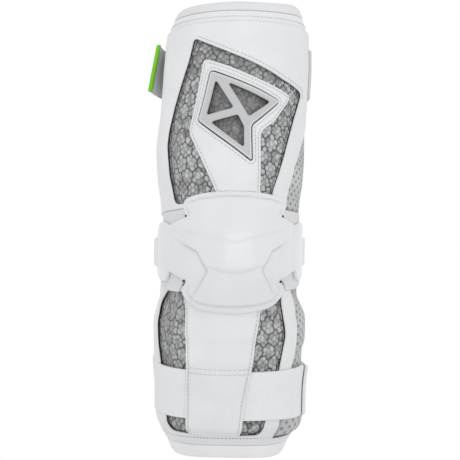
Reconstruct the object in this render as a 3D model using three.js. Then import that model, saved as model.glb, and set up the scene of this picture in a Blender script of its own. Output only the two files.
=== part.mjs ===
// A lacrosse arm pad in the form that it has when worn.
// Millimetres, +Z along the arm to the shoulder, -Y to the front where the elbow cap is, +X to the right.
// The origin is on the arm's middle line, at the middle of the elbow.
//
// Every piece is a layer laid on one bent arm. A place on the arm is a turn round it, in degrees from
// the front to the right, and a length along it from the elbow, positive towards the shoulder.
import * as THREE from 'three';

// The arm that the guard is worn on
const upperLength = 194;
const foreLength = 154;
const sleeveHalfWidth = 52;
const depthShare = 0.95;
const sideDrift = 7.5;
const upperLean = 8;
const foreLean = 14;
const bendReach = 40;
// How much higher the upper rim is at its two sides than in front, and where that begins
const rimRiseRight = 5.3;
const rimRiseLeft = 1.6;
const rimRisesFrom = 170;
// How much lower the lower rim is at its two sides than in front, and where that begins and is full
const rimDropRight = 7.3;
const rimDropLeft = 5.7;
const rimDropsFrom = -118;
const rimDropsTo = -134;

// Walls, from the arm outwards
const gap = 0.4;
const sleeveWall = 2.4;
const hemWall = 2;
const bandWall = 2;
const padSide = 3.2;
const padFront = 7;
const cushionRise = 9;
const shellWall = 2.2;
const ventWall = 3;
const sideMeshWall = 5;
const meshBackWall = 2;
const capWall = 2.6;
const tabWall = 1.6;
const strapWall = 1.8;
const pullTabWall = 1.6;
const pullEdgeWall = 3;
const strapEndWall = 2;

// Places and widths of the straps and hems
const elbowSleeveReach = 46;
const topHemWidth = 9;
const topBandWidth = 13;
const bottomHemWidth = 11;
const shellTopAt = 0.907;
const shellBottomAt = -0.92;
const borderTopAt = -0.877;
const upperStrapWidth = 38;
const upperStrapAt = 0.74;
const upperStrapClimb = 2.7;
const upperStrapTurn = 80;
const elbowStrapWidth = 21;
const elbowStrapAt = 0.015;
const elbowStrapTurn = 78;
const lowerStrapWidth = 40;
const lowerStrapAt = -0.63;
const lowerStrapDip = 6;
const lowerStrapSlant = 1.5;
const strapTuck = 8;
const strapTuckTurn = 115;
const strapTuckReach = 45;
const panelDrape = 15;
const strapEndLift = 1.5;
const strapEndFrom = 75;
const strapEndTo = 120;
const pullTabTurn = -120;
const pullTabReach = 27;
const pullEdgeTurn = 3;
const pullTabLift = 9;
const pullTabRise = 5;
const pullTabClimb = 6.7;

// The elbow cap
const capTurn = 3.5;
const capUp = 41;
const capDown = 31;
const cushionTurn = 50;
const cushionHalfLength = 40;
const cushionAt = 5;

// How far in from the shells' ends the pad reaches its full thickness
const padTopTaper = 30;
const padBottomTaper = 17;

// Fineness of the facets, and how far the pieces' edges stay inside the shells that cover them
const columnTurn = 15;
const cornerRound = 7;
const padInset = 5;
const padBottomAt = -0.87;
const meshThinsFrom = 105;
const meshBackTurn = 135;
const shellLeftTurn = -105;
const padLeftTurn = -97;

// Half-width of the sleeve as a share of sleeveHalfWidth, and how far its middle stands to the right
// as a share of sideDrift, at shares of the upper arm and of the forearm
const upperSections = [
  { at: 0, wide: 0.925, aside: 0 },
  { at: 0.1, wide: 0.925, aside: 0.06 },
  { at: 0.2, wide: 0.935, aside: 0.13 },
  { at: 0.3, wide: 0.985, aside: 0.16 },
  { at: 0.42, wide: 1.01, aside: 0.17 },
  { at: 0.6, wide: 0.985, aside: 0.48 },
  { at: 0.75, wide: 0.985, aside: 0.73 },
  { at: 0.9, wide: 0.99, aside: 0.9 },
  { at: 0.955, wide: 0.95, aside: 0.95 },
  { at: 0.985, wide: 0.9, aside: 0.98 },
  { at: 1, wide: 0.85, aside: 1 },
];
const foreSections = [
  { at: 0.1, wide: 0.92, aside: 0 },
  { at: 0.19, wide: 0.92, aside: -0.04 },
  { at: 0.26, wide: 0.97, aside: -0.06 },
  { at: 0.34, wide: 1.02, aside: -0.08 },
  { at: 0.45, wide: 1.015, aside: -0.1 },
  { at: 0.55, wide: 1.01, aside: -0.12 },
  { at: 0.68, wide: 0.98, aside: -0.16 },
  { at: 0.81, wide: 0.98, aside: -0.2 },
  { at: 0.87, wide: 0.935, aside: -0.23 },
  { at: 0.92, wide: 0.895, aside: -0.25 },
  { at: 1, wide: 0.8, aside: -0.27 },
];

// Outlines. A turn is in degrees. at is a share of the upper arm's length, or below zero of the
// forearm's. rise is a share of capUp, or below zero of capDown. round is a share of cornerRound.
const upperRightEdge = [
  { turn: 97, at: 0.6 },
  { turn: 89, at: 0.568 },
  { turn: 67, at: 0.432 },
  { turn: 56.4, at: 0.335 },
  { turn: 51, at: 0.228 },
  { turn: 48, rise: 0.766 },
];
const lowerRightEdge = [
  { turn: 57, rise: -0.556 },
  { turn: 58.5, at: -0.15 },
  { turn: 65.6, at: -0.205 },
  { turn: 63, at: -0.28 },
  { turn: 61.4, at: -0.4 },
  { turn: 59.8, at: -0.45 },
  { turn: 55, at: -0.524 },
  { turn: 43.5, at: -0.785 },
  { turn: 41.9, at: -0.865 },
];
const upperWindow = [
  { turn: -36.2, at: 0.846, round: 0.6 },
  { turn: -7.3, at: 0.778 },
  { turn: 38.2, at: 0.676 },
  { turn: 63.8, at: 0.638, round: 0.6 },
  { turn: 54.4, at: 0.531 },
  { turn: 45.7, at: 0.41 },
  { turn: 34, at: 0.218 },
  { turn: 31, rise: 0.852 },
  { turn: -51, rise: 0.852, round: 1 },
  { turn: -55, at: 0.3 },
  { turn: -56.3, at: 0.418 },
  { turn: -54.6, at: 0.49 },
  { turn: -51.2, at: 0.575 },
  { turn: -38.6, at: 0.752 },
];
const lowerWindow = [
  { turn: -48, rise: -0.705 },
  { turn: -60, rise: -0.745 },
  { turn: -76, at: -0.22, round: 0.7 },
  { turn: -70, at: -0.34 },
  { turn: -68.5, at: -0.43 },
  { turn: -64, at: -0.505 },
  { turn: -56, at: -0.75 },
  { turn: -55, at: -0.848, round: 1.2 },
  { turn: 26.5, at: -0.853, round: 0.7 },
  { turn: 31, at: -0.74 },
  { turn: 40.4, at: -0.522 },
  { turn: 46.5, at: -0.36 },
  { turn: 46.7, at: -0.227 },
  { turn: 44.5, rise: -0.77 },
];
const shieldOutline = [
  { turn: -25, at: 0.755, round: 0.7 },
  { turn: -6.7, at: 0.72 },
  { turn: 16.5, at: 0.67 },
  { turn: 48, at: 0.612, round: 0.85 },
  { turn: 32.3, at: 0.498 },
  { turn: 21.6, at: 0.455, round: 0.7 },
  { turn: 22.9, at: 0.2 },
  { turn: -10.5, at: 0.2 },
  { turn: -24, at: 0.364 },
  { turn: -32.5, at: 0.457, round: 0.6 },
  { turn: -29.9, at: 0.555 },
];
const ventOutline = [
  { turn: -18.5, at: 0.7, round: 0.45 },
  { turn: 16, at: 0.627 },
  { turn: 35.5, at: 0.583, round: 0.45 },
  { turn: 14, at: 0.478, round: 0.45 },
  { turn: 15, at: 0.335, round: 0.3 },
  { turn: -25, at: 0.5, round: 0.3 },
];
const ventHoles = [
  [
    { turn: -14, at: 0.653 },
    { turn: -18.3, at: 0.524 },
    { turn: -0.7, at: 0.549 },
  ],
  [
    { turn: -3.6, at: 0.643 },
    { turn: 12.2, at: 0.518 },
    { turn: 26.3, at: 0.576 },
  ],
  [
    { turn: -14, at: 0.488 },
    { turn: 8.5, at: 0.394 },
    { turn: 8.2, at: 0.469 },
    { turn: 3.6, at: 0.514 },
  ],
];
const panelOutline = [
  { turn: -37.5, at: -0.16 },
  { turn: -32.7, at: -0.355 },
  { turn: -29.7, at: -0.47 },
  { turn: -30.6, at: -0.66 },
  { turn: -30.6, at: -0.845, round: 0.7 },
  { turn: 9, at: -0.845 },
  { turn: 11.9, at: -0.657 },
  { turn: 15.7, at: -0.486 },
  { turn: 21.2, at: -0.304 },
  { turn: 27.5, at: -0.16 },
];

// The right half of the cap's outline, from its top round to its bottom, with turns from its middle
const capHalf = [
  { turn: 0, rise: 1 },
  { turn: 25, rise: 0.975 },
  { turn: 36.5, rise: 0.925 },
  { turn: 41, rise: 0.8 },
  { turn: 36, rise: 0.63 },
  { turn: 57, rise: 0.53 },
  { turn: 73, rise: 0.64 },
  { turn: 88, rise: 0.36 },
  { turn: 97, rise: 0.04 },
  { turn: 90, rise: -0.32 },
  { turn: 76, rise: -0.56 },
  { turn: 62, rise: -0.56 },
  { turn: 57, rise: -0.31 },
  { turn: 36.5, rise: -0.46 },
  { turn: 41.5, rise: -0.7 },
  { turn: 36, rise: -0.89 },
  { turn: 26, rise: -1.03 },
  { turn: 0, rise: -1.09 },
];
// The tabs, with turns from the cap's middle
const upperTab = [
  { turn: 33, rise: 0.73 },
  { turn: 33, rise: 0.57 },
  { turn: 62, rise: 0.46 },
  { turn: 74, rise: 0.56 },
  { turn: 64, rise: 0.745 },
];
const lowerTab = [
  { turn: 36, rise: -0.53 },
  { turn: 36, rise: -0.38 },
  { turn: 58, rise: -0.22 },
  { turn: 74, rise: -0.3 },
  { turn: 70, rise: -0.53 },
];

const { degToRad: radians, radToDeg: degrees, clamp, lerp } = THREE.MathUtils;
const tiny = 1e-6;
const flatScale = radians(sleeveHalfWidth + padFront);
const gapTurn = degrees(gap / sleeveHalfWidth);
const lengthAt = (at) => at * (at > 0 ? upperLength : foreLength);
const riseAt = (rise) => rise * (rise > 0 ? capUp : capDown);
const alongOf = (row) => row.along ?? (row.rise === undefined ? lengthAt(row.at) : riseAt(row.rise));
const turnWithin = (turn) => turn - 360 * Math.round(turn / 360);
const bump = (share) => Math.max(0, 1 - share * share);

// The arm's middle line: straight above and below, with an even bend at the elbow
function middleAt(along) {
  const half = radians((upperLean + foreLean) / 2);
  const middle = radians((upperLean - foreLean) / 2);
  const radius = bendReach / half;
  const inBend = clamp(along, -bendReach, bendReach);
  const lean = middle + inBend / radius;
  const beyond = along - inBend;
  return {
    lean,
    y: radius * (Math.cos(middle) - Math.cos(lean)) + beyond * Math.sin(lean),
    z: radius * (Math.sin(lean) - Math.sin(middle)) + beyond * Math.cos(lean),
  };
}

function stationOf(along, row) {
  const { lean, y, z } = middleAt(along);
  return {
    along,
    centre: new THREE.Vector3(row.aside * sideDrift, y, z),
    front: new THREE.Vector3(0, -Math.cos(lean), Math.sin(lean)),
    axis: new THREE.Vector3(0, Math.sin(lean), Math.cos(lean)),
    halfWidth: row.wide * sleeveHalfWidth,
  };
}

const stations = [
  ...foreSections.map((row) => stationOf(-row.at * foreLength, row)).reverse(),
  ...upperSections.map((row) => stationOf(row.at * upperLength, row)),
];

// The upper rim is higher at its sides than in front
function rimRise(turn, along) {
  const side = Math.sin(radians(turn));
  const both = (rimRiseRight + rimRiseLeft) / 2;
  const oneSided = (rimRiseRight - rimRiseLeft) / 2;
  const share = clamp((along - rimRisesFrom) / (upperLength - rimRisesFrom), 0, 1);
  return share * (both * side ** 4 + oneSided * side ** 3);
}

// The lower rim is lower at its sides than in front
function rimDrop(turn, along) {
  const side = Math.sin(radians(turn));
  const both = (rimDropRight + rimDropLeft) / 2;
  const oneSided = (rimDropRight - rimDropLeft) / 2;
  const share = clamp((along - rimDropsFrom) / (rimDropsTo - rimDropsFrom), 0, 1);
  return share * (both * side ** 2 + oneSided * side);
}

function cornerPoint(station, turn, height) {
  const angle = radians(turn);
  const shift = rimRise(turn, station.along) - rimDrop(turn, station.along);
  const point = station.centre.clone().addScaledVector(station.axis, shift);
  point.x += Math.sin(angle) * (station.halfWidth + height);
  return point.addScaledVector(station.front, Math.cos(angle) * (station.halfWidth * depthShare + height));
}

// The facet that a place lies on: its two sections, its two turns, and the shares across and up it
function facetAt(turn, along) {
  const next = stations.findIndex((station) => station.along > along);
  const above = next < 0 ? stations.length - 1 : Math.max(next, 1);
  const [low, high] = [stations[above - 1], stations[above]];
  const left = Math.floor(turn / columnTurn) * columnTurn;
  return {
    low, high, left,
    across: (turn - left) / columnTurn,
    up: (along - low.along) / (high.along - low.along),
  };
}

// A place on the form, which has two flat triangles to a facet. Heights are taken at the facets'
// corners, so that layers never cross.
function formPoint(turn, along, heightAt) {
  const { low, high, left, across, up } = facetAt(turn, along);
  const corner = (station, column) => cornerPoint(
    station, column, heightAt(turnWithin(column), station.along));
  const point = corner(low, left);
  const end = corner(high, left + columnTurn);
  const middle = across > up ? corner(low, left + columnTurn) : corner(high, left);
  const [first, second] = across > up ? [across, up] : [up, across];
  return point.addScaledVector(middle.clone().sub(point), first)
    .addScaledVector(end.sub(middle), second);
}

// Cuts a flat convex piece where sideOf changes sign. settle puts a crossing exactly on the line.
function cutPiece(piece, sideOf, settle) {
  const sides = [[], []];
  piece.forEach((point, i) => {
    const next = piece[(i + 1) % piece.length];
    const here = sideOf(point);
    const there = sideOf(next);
    if (here <= 0) sides[0].push(point);
    if (here >= 0) sides[1].push(point);
    if (here * there < 0) {
      const [low, high] = here < 0 ? [point, next] : [next, point];
      const share = sideOf(low) / (sideOf(low) - sideOf(high));
      const crossing = settle(low.clone().lerp(high, share));
      sides.forEach((side) => side.push(crossing));
    }
  });
  return sides.filter((side) => side.length > 2);
}

function cutToFacets(pieces) {
  const cutAlong = (parts, axis, value) => parts.flatMap((part) => cutPiece(
    part, (point) => point[axis] - value, (point) => point.setComponent(axis === 'x' ? 0 : 1, value)));
  const turns = pieces.flat().map((point) => point.x);
  const first = Math.ceil(Math.min(...turns) / columnTurn);
  const last = Math.floor(Math.max(...turns) / columnTurn);
  let parts = pieces;
  for (let column = first; column <= last; column += 1) parts = cutAlong(parts, 'x', column * columnTurn);
  for (const station of stations) parts = cutAlong(parts, 'y', station.along);
  return parts.flatMap((piece) => {
    const { low, high, left } = facetAt(...middleOf(piece));
    const offDiagonal = (point) => (point.x - left) / columnTurn
      - (point.y - low.along) / (high.along - low.along);
    return cutPiece(piece, offDiagonal, (point) => point);
  });
}

function middleOf(piece) {
  return piece.reduce((sum, point) => sum.add(point), new THREE.Vector2()).divideScalar(piece.length);
}

// Walks round the edges of one facet's pieces, which are joined where they share an edge
function loopsOf(edges) {
  const next = new Map(edges);
  const loops = [];
  while (next.size) {
    const loop = [];
    let [at] = next.keys();
    while (next.has(at)) {
      loop.push(at);
      const to = next.get(at);
      next.delete(at);
      at = to;
    }
    loops.push(loop);
  }
  return loops;
}

// Adds directed edges to a map, in which an edge and its opposite cancel
function addEdges(edges, corners) {
  corners.forEach((from, i) => {
    const to = corners[(i + 1) % corners.length];
    if (!edges.delete(`${to} ${from}`)) edges.set(`${from} ${to}`, [from, to]);
  });
}

// A closed layer between two heights over flat pieces, wrapped on the arm
function layer(pieces, footAt, topAt) {
  const numbers = new Map();
  const places = [];
  const numberOf = (point) => {
    const key = `${turnWithin(point.x + 180 - tiny).toFixed(5)} ${point.y.toFixed(5)}`;
    if (!numbers.has(key)) {
      numbers.set(key, places.length);
      places.push(point);
    }
    return numbers.get(key);
  };
  const facets = new Map();
  for (const piece of cutToFacets(pieces)) {
    const { low, left, across, up } = facetAt(...middleOf(piece));
    const facet = `${left} ${low.along} ${across > up}`;
    if (!facets.has(facet)) facets.set(facet, { edges: new Map(), spots: new Map() });
    const { edges, spots } = facets.get(facet);
    const ring = THREE.ShapeUtils.isClockWise(piece) ? [...piece].reverse() : piece;
    ring.forEach((point) => spots.set(numberOf(point), point));
    addEdges(edges, ring.map(numberOf));
  }
  const rim = new Map();
  const faces = [];
  for (const { edges, spots } of facets.values()) {
    for (const loop of loopsOf(edges.values())) {
      const corners = loop.filter((number, i) => {
        const sides = [loop.at(i - 1), loop[(i + 1) % loop.length]].map(
          (other) => spots.get(other).clone().sub(spots.get(number)).normalize());
        return Math.abs(sides[0].cross(sides[1])) > tiny;
      });
      const found = THREE.ShapeUtils.triangulateShape(corners.map((number) => spots.get(number)), []);
      for (const face of found) {
        faces.push(face.map((i) => corners[i]));
        addEdges(rim, faces.at(-1));
      }
    }
  }
  const inner = places.length;
  const index = faces.flatMap(([a, b, c]) => [a, b, c, inner + a, inner + c, inner + b]);
  for (const [a, b] of rim.values()) index.push(b, a, inner + a, b, inner + a, inner + b);
  const outside = places.map((point) => formPoint(point.x, point.y, topAt));
  const inside = places.map((point) => formPoint(point.x, point.y, footAt));
  const geometry = new THREE.BufferGeometry().setFromPoints([...outside, ...inside]);
  geometry.setIndex(index);
  geometry.computeVertexNormals();
  return geometry;
}

// Rows of an outline as flat points, with each round corner as a short curve
function outlineOf(rows) {
  const points = rows.map((row) => new THREE.Vector2(row.turn, alongOf(row)));
  const rounded = points.flatMap((point, i) => {
    if (!rows[i].round) return [point];
    const towards = (other) => {
      const way = other.clone().sub(point);
      const length = Math.hypot(way.x * flatScale, way.y);
      return point.clone().addScaledVector(way, Math.min(rows[i].round * cornerRound / length, 0.5));
    };
    const before = towards(points.at(i - 1));
    const after = towards(points[(i + 1) % points.length]);
    return new THREE.QuadraticBezierCurve(before, point, after).getPoints(2);
  });
  return THREE.ShapeUtils.isClockWise(rounded) ? rounded.reverse() : rounded;
}

// A closed outline moved outwards by a clearance, measured on the arm
function widened(outline, clearance) {
  const scaled = outline.map((point) => new THREE.Vector2(point.x * flatScale, point.y));
  return scaled.map((point, i) => {
    const before = point.clone().sub(scaled.at(i - 1)).normalize();
    const after = scaled[(i + 1) % scaled.length].clone().sub(point).normalize();
    const outwards = new THREE.Vector2(before.y + after.y, -before.x - after.x).normalize();
    const reach = clearance / (outwards.x * after.y - outwards.y * after.x);
    const moved = point.clone().addScaledVector(outwards, reach);
    return new THREE.Vector2(moved.x / flatScale, moved.y);
  });
}

// A sheet laid on the form, cut along an outline and its holes
function cutSheet(footAt, topAt, outline, ...holes) {
  const cuts = holes.map((hole) => [...hole].reverse());
  const points = [outline, ...cuts].flat();
  const faces = THREE.ShapeUtils.triangulateShape(outline, cuts);
  return layer(faces.map((face) => face.map((i) => points[i])), footAt, topAt);
}

const stripOf = (fromTurn, toTurn, from, to) => [[
  new THREE.Vector2(fromTurn, from),
  new THREE.Vector2(toTurn, from),
  new THREE.Vector2(toTurn, to),
  new THREE.Vector2(fromTurn, to),
]];

const ringOf = (from, to) => stripOf(-180, 180, from, to);
const even = (height) => () => height;
const over = (base, wall) => (turn, along) => base(turn, along) + wall;

// How much of the pad's full thickness is there, from the cuffs inwards
function padFullness(along) {
  const top = (lengthAt(shellTopAt) - along) / padTopTaper;
  const bottom = (along - lengthAt(shellBottomAt)) / padBottomTaper;
  return clamp(Math.min(top, bottom), 0, 1);
}

// Top of the foam: thicker in front, raised under the cap, and down to what the shells end on
function padTop(turn, along) {
  const front = (padFront - padSide) * Math.max(0, Math.cos(radians(turn)));
  const cushion = cushionRise * bump((turn - capTurn) / cushionTurn)
    * bump((along - cushionAt) / cushionHalfLength);
  const end = along > 0 ? bandWall : -gap;
  return gap + lerp(end, padSide + front + cushion, padFullness(along));
}

const shellFoot = over(padTop, gap);
const shellTop = over(shellFoot, shellWall);
const capFoot = over(shellTop, gap);
const capTop = over(capFoot, capWall);

// What goes round the back leaves its base behind the given turn and comes down on the sleeve
function roundTheBack(base, leavingTurn) {
  const down = 2 * columnTurn;
  return (turn, along) => {
    const carried = clamp((leavingTurn + down - Math.abs(turn)) / down, 0, 1);
    return gap + carried * base(turn, along);
  };
}

const upperStrapFoot = roundTheBack(shellTop, -shellLeftTurn);
const elbowStrapFoot = roundTheBack(capTop, -shellLeftTurn);
const lowerStrapFoot = roundTheBack(shellTop, meshBackTurn);
const lowerStrapTop = over(lowerStrapFoot, strapWall);

// The forearm panel lies on the pad and is lifted over the strap
function panelFoot(turn, along) {
  const fromStrap = Math.abs(along - lengthAt(lowerStrapAt)) - lowerStrapWidth / 2;
  const lifted = clamp(2 - fromStrap / panelDrape, 0, 1);
  return shellFoot(turn, along) + lifted * (shellWall + gap + strapWall + gap);
}

// The mesh beside the shells thins out towards its back edge
function sideMeshTop(turn) {
  const back = clamp((turn - meshThinsFrom) / (meshBackTurn - meshThinsFrom), 0, 1);
  return gap + lerp(sideMeshWall, meshBackWall, back);
}

// The pull tab leaves the strap and stands off the arm, most at its lower end
function pullTabFoot(turn, along) {
  const out = clamp((turn - pullTabTurn) / pullTabReach, 0, 1.5);
  const middle = lengthAt(upperStrapAt) + pullTabClimb;
  const down = clamp((middle - along) / upperStrapWidth + 0.5, 0, 1);
  return upperStrapFoot(turn, along) + out * (pullTabLift * down + pullTabRise * (1 - down));
}

const part = new THREE.Group();

function addPiece(name, geometry, look) {
  const mesh = new THREE.Mesh(geometry, new THREE.MeshStandardMaterial(look));
  mesh.name = name;
  part.add(mesh);
}

const whiteLeather = { color: 0xe4e5e7, roughness: 0.55, metalness: 0 };
const whiteElastic = { color: 0xdedfe2, roughness: 0.8, metalness: 0 };
const glossyWhite = { color: 0xe6e8ea, roughness: 0.22, metalness: 0 };
const greyMesh = { color: 0xa3a4a6, roughness: 0.85, metalness: 0 };
const greyFoam = { color: 0x8b8c8f, roughness: 0.7, metalness: 0 };
const silverGrey = { color: 0xc0c1c3, roughness: 0.45, metalness: 0.1 };
const brightGreen = { color: 0x74c01a, roughness: 0.6, metalness: 0 };

// The sleeve's three lengths, its hems and the band
function addTube() {
  const sleeveTop = upperLength - topHemWidth;
  const sleeveBottom = bottomHemWidth - foreLength;
  const inside = even(-sleeveWall);
  const addSleeve = (name, from, to) => addPiece(name, layer(ringOf(from, to), inside, even(0)), greyMesh);
  addSleeve('upper_sleeve', elbowSleeveReach + gap, sleeveTop);
  addSleeve('elbow_sleeve', -elbowSleeveReach, elbowSleeveReach);
  addSleeve('lower_sleeve', sleeveBottom, -elbowSleeveReach - gap);
  addPiece('top_hem', layer(ringOf(sleeveTop + gap, upperLength), inside, even(hemWall)), whiteLeather);
  const bottomHem = ringOf(-foreLength, sleeveBottom - gap);
  addPiece('bottom_hem', layer(bottomHem, inside, even(hemWall)), whiteLeather);
  const band = ringOf(sleeveTop - topBandWidth, sleeveTop);
  addPiece('top_band', layer(band, even(gap), even(gap + bandWall)), whiteLeather);
}

// Foam pads and the mesh beside the shells
function addPads() {
  const inset = (rows) => rows.map((row) => ({ ...row, turn: row.turn - padInset }));
  const padEnd = upperLength - topHemWidth - topBandWidth - gap;
  const elbowTurn = capHalf[5].turn + capTurn;
  const upperPad = outlineOf([
    { turn: padLeftTurn, along: padEnd },
    { turn: -elbowTurn, rise: upperRightEdge.at(-1).rise },
    { turn: -elbowTurn, along: gap },
    { turn: elbowTurn, along: gap },
    { turn: elbowTurn, rise: 0.71 },
    ...inset(upperRightEdge).reverse(),
    { turn: upperRightEdge[0].turn - padInset, along: padEnd },
  ]);
  addPiece('upper_pad', cutSheet(even(gap), padTop, upperPad), greyFoam);
  const lowerPad = outlineOf([
    { turn: -elbowTurn, along: -gap },
    { turn: -elbowTurn, rise: -0.5 },
    { turn: padLeftTurn, rise: -0.6 },
    { turn: padLeftTurn, at: padBottomAt },
    { turn: lowerRightEdge.at(-1).turn - padInset, at: padBottomAt },
    ...inset(lowerRightEdge.slice(0, -1)).reverse(),
    { turn: elbowTurn, along: -gap },
  ]);
  addPiece('lower_pad', cutSheet(even(gap), padTop, lowerPad), greyFoam);
  const beside = (rows) => rows.map((row) => ({ ...row, turn: row.turn + 3 * gapTurn }));
  const upperMesh = outlineOf([
    ...beside(upperRightEdge),
    { ...upperRightEdge.at(-1), turn: meshBackTurn },
    { ...upperRightEdge[0], turn: meshBackTurn },
  ]);
  addPiece('upper_side_mesh', cutSheet(even(gap), sideMeshTop, upperMesh), greyMesh);
  const lowerMesh = outlineOf([
    ...beside(lowerRightEdge),
    { ...lowerRightEdge.at(-1), turn: meshBackTurn },
    { ...lowerRightEdge[0], turn: meshBackTurn },
  ]);
  addPiece('lower_side_mesh', cutSheet(even(gap), sideMeshTop, lowerMesh), greyMesh);
}

// The two white shells with their windows
function addShells() {
  const upperOutline = outlineOf([
    { turn: shellLeftTurn, at: shellTopAt },
    { ...upperRightEdge.at(-1), turn: shellLeftTurn },
    ...[...upperRightEdge].reverse(),
    { turn: upperRightEdge[0].turn, at: shellTopAt },
  ]);
  const upperShell = cutSheet(shellFoot, shellTop, upperOutline, outlineOf(upperWindow));
  addPiece('upper_shell', upperShell, whiteLeather);
  const lowerOutline = outlineOf([
    { ...lowerRightEdge[0], turn: shellLeftTurn },
    { turn: shellLeftTurn, at: shellBottomAt },
    { turn: meshBackTurn, at: shellBottomAt },
    { turn: meshBackTurn, at: borderTopAt },
    { turn: lowerRightEdge.at(-1).turn, at: borderTopAt },
    ...[...lowerRightEdge].reverse(),
  ]);
  const lowerShell = cutSheet(shellFoot, shellTop, lowerOutline, outlineOf(lowerWindow));
  addPiece('lower_shell', lowerShell, whiteLeather);
}

// The shield panel with its lattice, and the forearm panel
function addPanels() {
  const vent = outlineOf(ventOutline);
  const shield = cutSheet(shellFoot, shellTop, outlineOf(shieldOutline), widened(vent, gap));
  addPiece('shield_panel', shield, whiteLeather);
  const lattice = cutSheet(shellFoot, over(shellFoot, ventWall), vent, ...ventHoles.map(outlineOf));
  addPiece('vent_frame', lattice, silverGrey);
  const panel = cutSheet(panelFoot, over(panelFoot, shellWall), outlineOf(panelOutline));
  addPiece('forearm_panel', panel, whiteLeather);
}

// The hard cap, and the elastic tabs in its notches
function addCap() {
  const placed = (rows, side) => rows.map((row) => ({
    turn: capTurn + side * row.turn,
    rise: row.rise,
  }));
  const cap = outlineOf([...placed(capHalf, 1), ...placed(capHalf.slice(1, -1), -1).reverse()]);
  addPiece('elbow_cap', cutSheet(capFoot, capTop, cap), glossyWhite);
  for (const [height, rows] of [['upper', upperTab], ['lower', lowerTab]]) {
    for (const [side, way] of [['left', -1], ['right', 1]]) {
      const tab = cutSheet(shellFoot, over(shellFoot, tabWall), outlineOf(placed(rows, way)));
      addPiece(`cap_tab_${height}_${side}`, tab, whiteElastic);
    }
  }
}

// The straps that go round the back, and their ends
function addStraps() {
  const halfUpper = upperStrapWidth / 2;
  const upperMiddle = lengthAt(upperStrapAt);
  const strapEnd = 360 + pullTabTurn - gapTurn;
  const upperStrap = [[
    new THREE.Vector2(upperStrapTurn, upperMiddle - halfUpper),
    new THREE.Vector2(strapEnd, upperMiddle - halfUpper + upperStrapClimb),
    new THREE.Vector2(strapEnd, upperMiddle + halfUpper + upperStrapClimb),
    new THREE.Vector2(upperStrapTurn, upperMiddle + halfUpper),
  ]];
  addPiece('upper_strap', layer(upperStrap, upperStrapFoot, over(upperStrapFoot, strapWall)), whiteElastic);
  const tabEnd = pullTabTurn + pullTabReach;
  const tabMiddle = upperMiddle + pullTabClimb;
  const pullTab = [[
    new THREE.Vector2(pullTabTurn, upperMiddle - halfUpper + upperStrapClimb),
    new THREE.Vector2(tabEnd - gapTurn, tabMiddle - halfUpper),
    new THREE.Vector2(tabEnd - gapTurn, tabMiddle + halfUpper),
    new THREE.Vector2(pullTabTurn, upperMiddle + halfUpper + upperStrapClimb),
  ]];
  addPiece('pull_tab', layer(pullTab, pullTabFoot, over(pullTabFoot, pullTabWall)), greyMesh);
  const edge = stripOf(tabEnd, tabEnd + pullEdgeTurn, tabMiddle - halfUpper, tabMiddle + halfUpper);
  const edgeFoot = over(pullTabFoot, (pullTabWall - pullEdgeWall) / 2);
  addPiece('pull_tab_edge', layer(edge, edgeFoot, over(edgeFoot, pullEdgeWall)), brightGreen);
  const elbowMiddle = lengthAt(elbowStrapAt);
  const elbowStrap = stripOf(elbowStrapTurn + capTurn, 360 - elbowStrapTurn + capTurn,
    elbowMiddle - elbowStrapWidth / 2, elbowMiddle + elbowStrapWidth / 2);
  addPiece('elbow_strap', layer(elbowStrap, elbowStrapFoot, over(elbowStrapFoot, strapWall)), whiteElastic);
  addPiece('lower_strap', layer(lowerStrapBetween(-180, 180), lowerStrapFoot, lowerStrapTop), whiteElastic);
  const endFoot = (turn, along) => lowerStrapTop(turn, along) + gap
    + strapEndLift * clamp((strapEndTo - columnTurn - turn) / (2 * columnTurn), 0, 1);
  const end = lowerStrapBetween(strapEndFrom, strapEndTo);
  addPiece('lower_strap_end', layer(end, endFoot, over(endFoot, strapEndWall)), whiteLeather);
}

// The lower strap dips at the sides, more at the right, where its upper edge is tucked down too
function lowerStrapBetween(fromTurn, toTurn) {
  const sideways = (turn) => Math.sin(radians(turn));
  const middle = (turn) => lengthAt(lowerStrapAt) - lowerStrapDip * sideways(turn) ** 2
    - lowerStrapSlant * sideways(turn);
  const tuck = (turn) => strapTuck * bump((turn - strapTuckTurn) / strapTuckReach);
  const pieces = [];
  for (let turn = fromTurn; turn < toTurn; turn += columnTurn) {
    const next = turn + columnTurn;
    pieces.push([
      new THREE.Vector2(turn, middle(turn) - lowerStrapWidth / 2),
      new THREE.Vector2(next, middle(next) - lowerStrapWidth / 2),
      new THREE.Vector2(next, middle(next) + lowerStrapWidth / 2 - tuck(next)),
      new THREE.Vector2(turn, middle(turn) + lowerStrapWidth / 2 - tuck(turn)),
    ]);
  }
  return pieces;
}

addTube();
addPads();
addShells();
addPanels();
addCap();
addStraps();

export default part;
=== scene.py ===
# %% [markdown]
# This lesson dresses a lacrosse arm pad. The solids come from the frame, and every piece here is laid over
# one of them. The guard is a bent tube, so each piece is first thought of flat, as its maker cuts it, and is
# then wrapped on the arm at its height.

# %% The frame
import math
from collections import namedtuple
from itertools import product

import bpy
import numpy as np
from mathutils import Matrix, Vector
from mathutils.geometry import delaunay_2d_cdt


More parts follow.
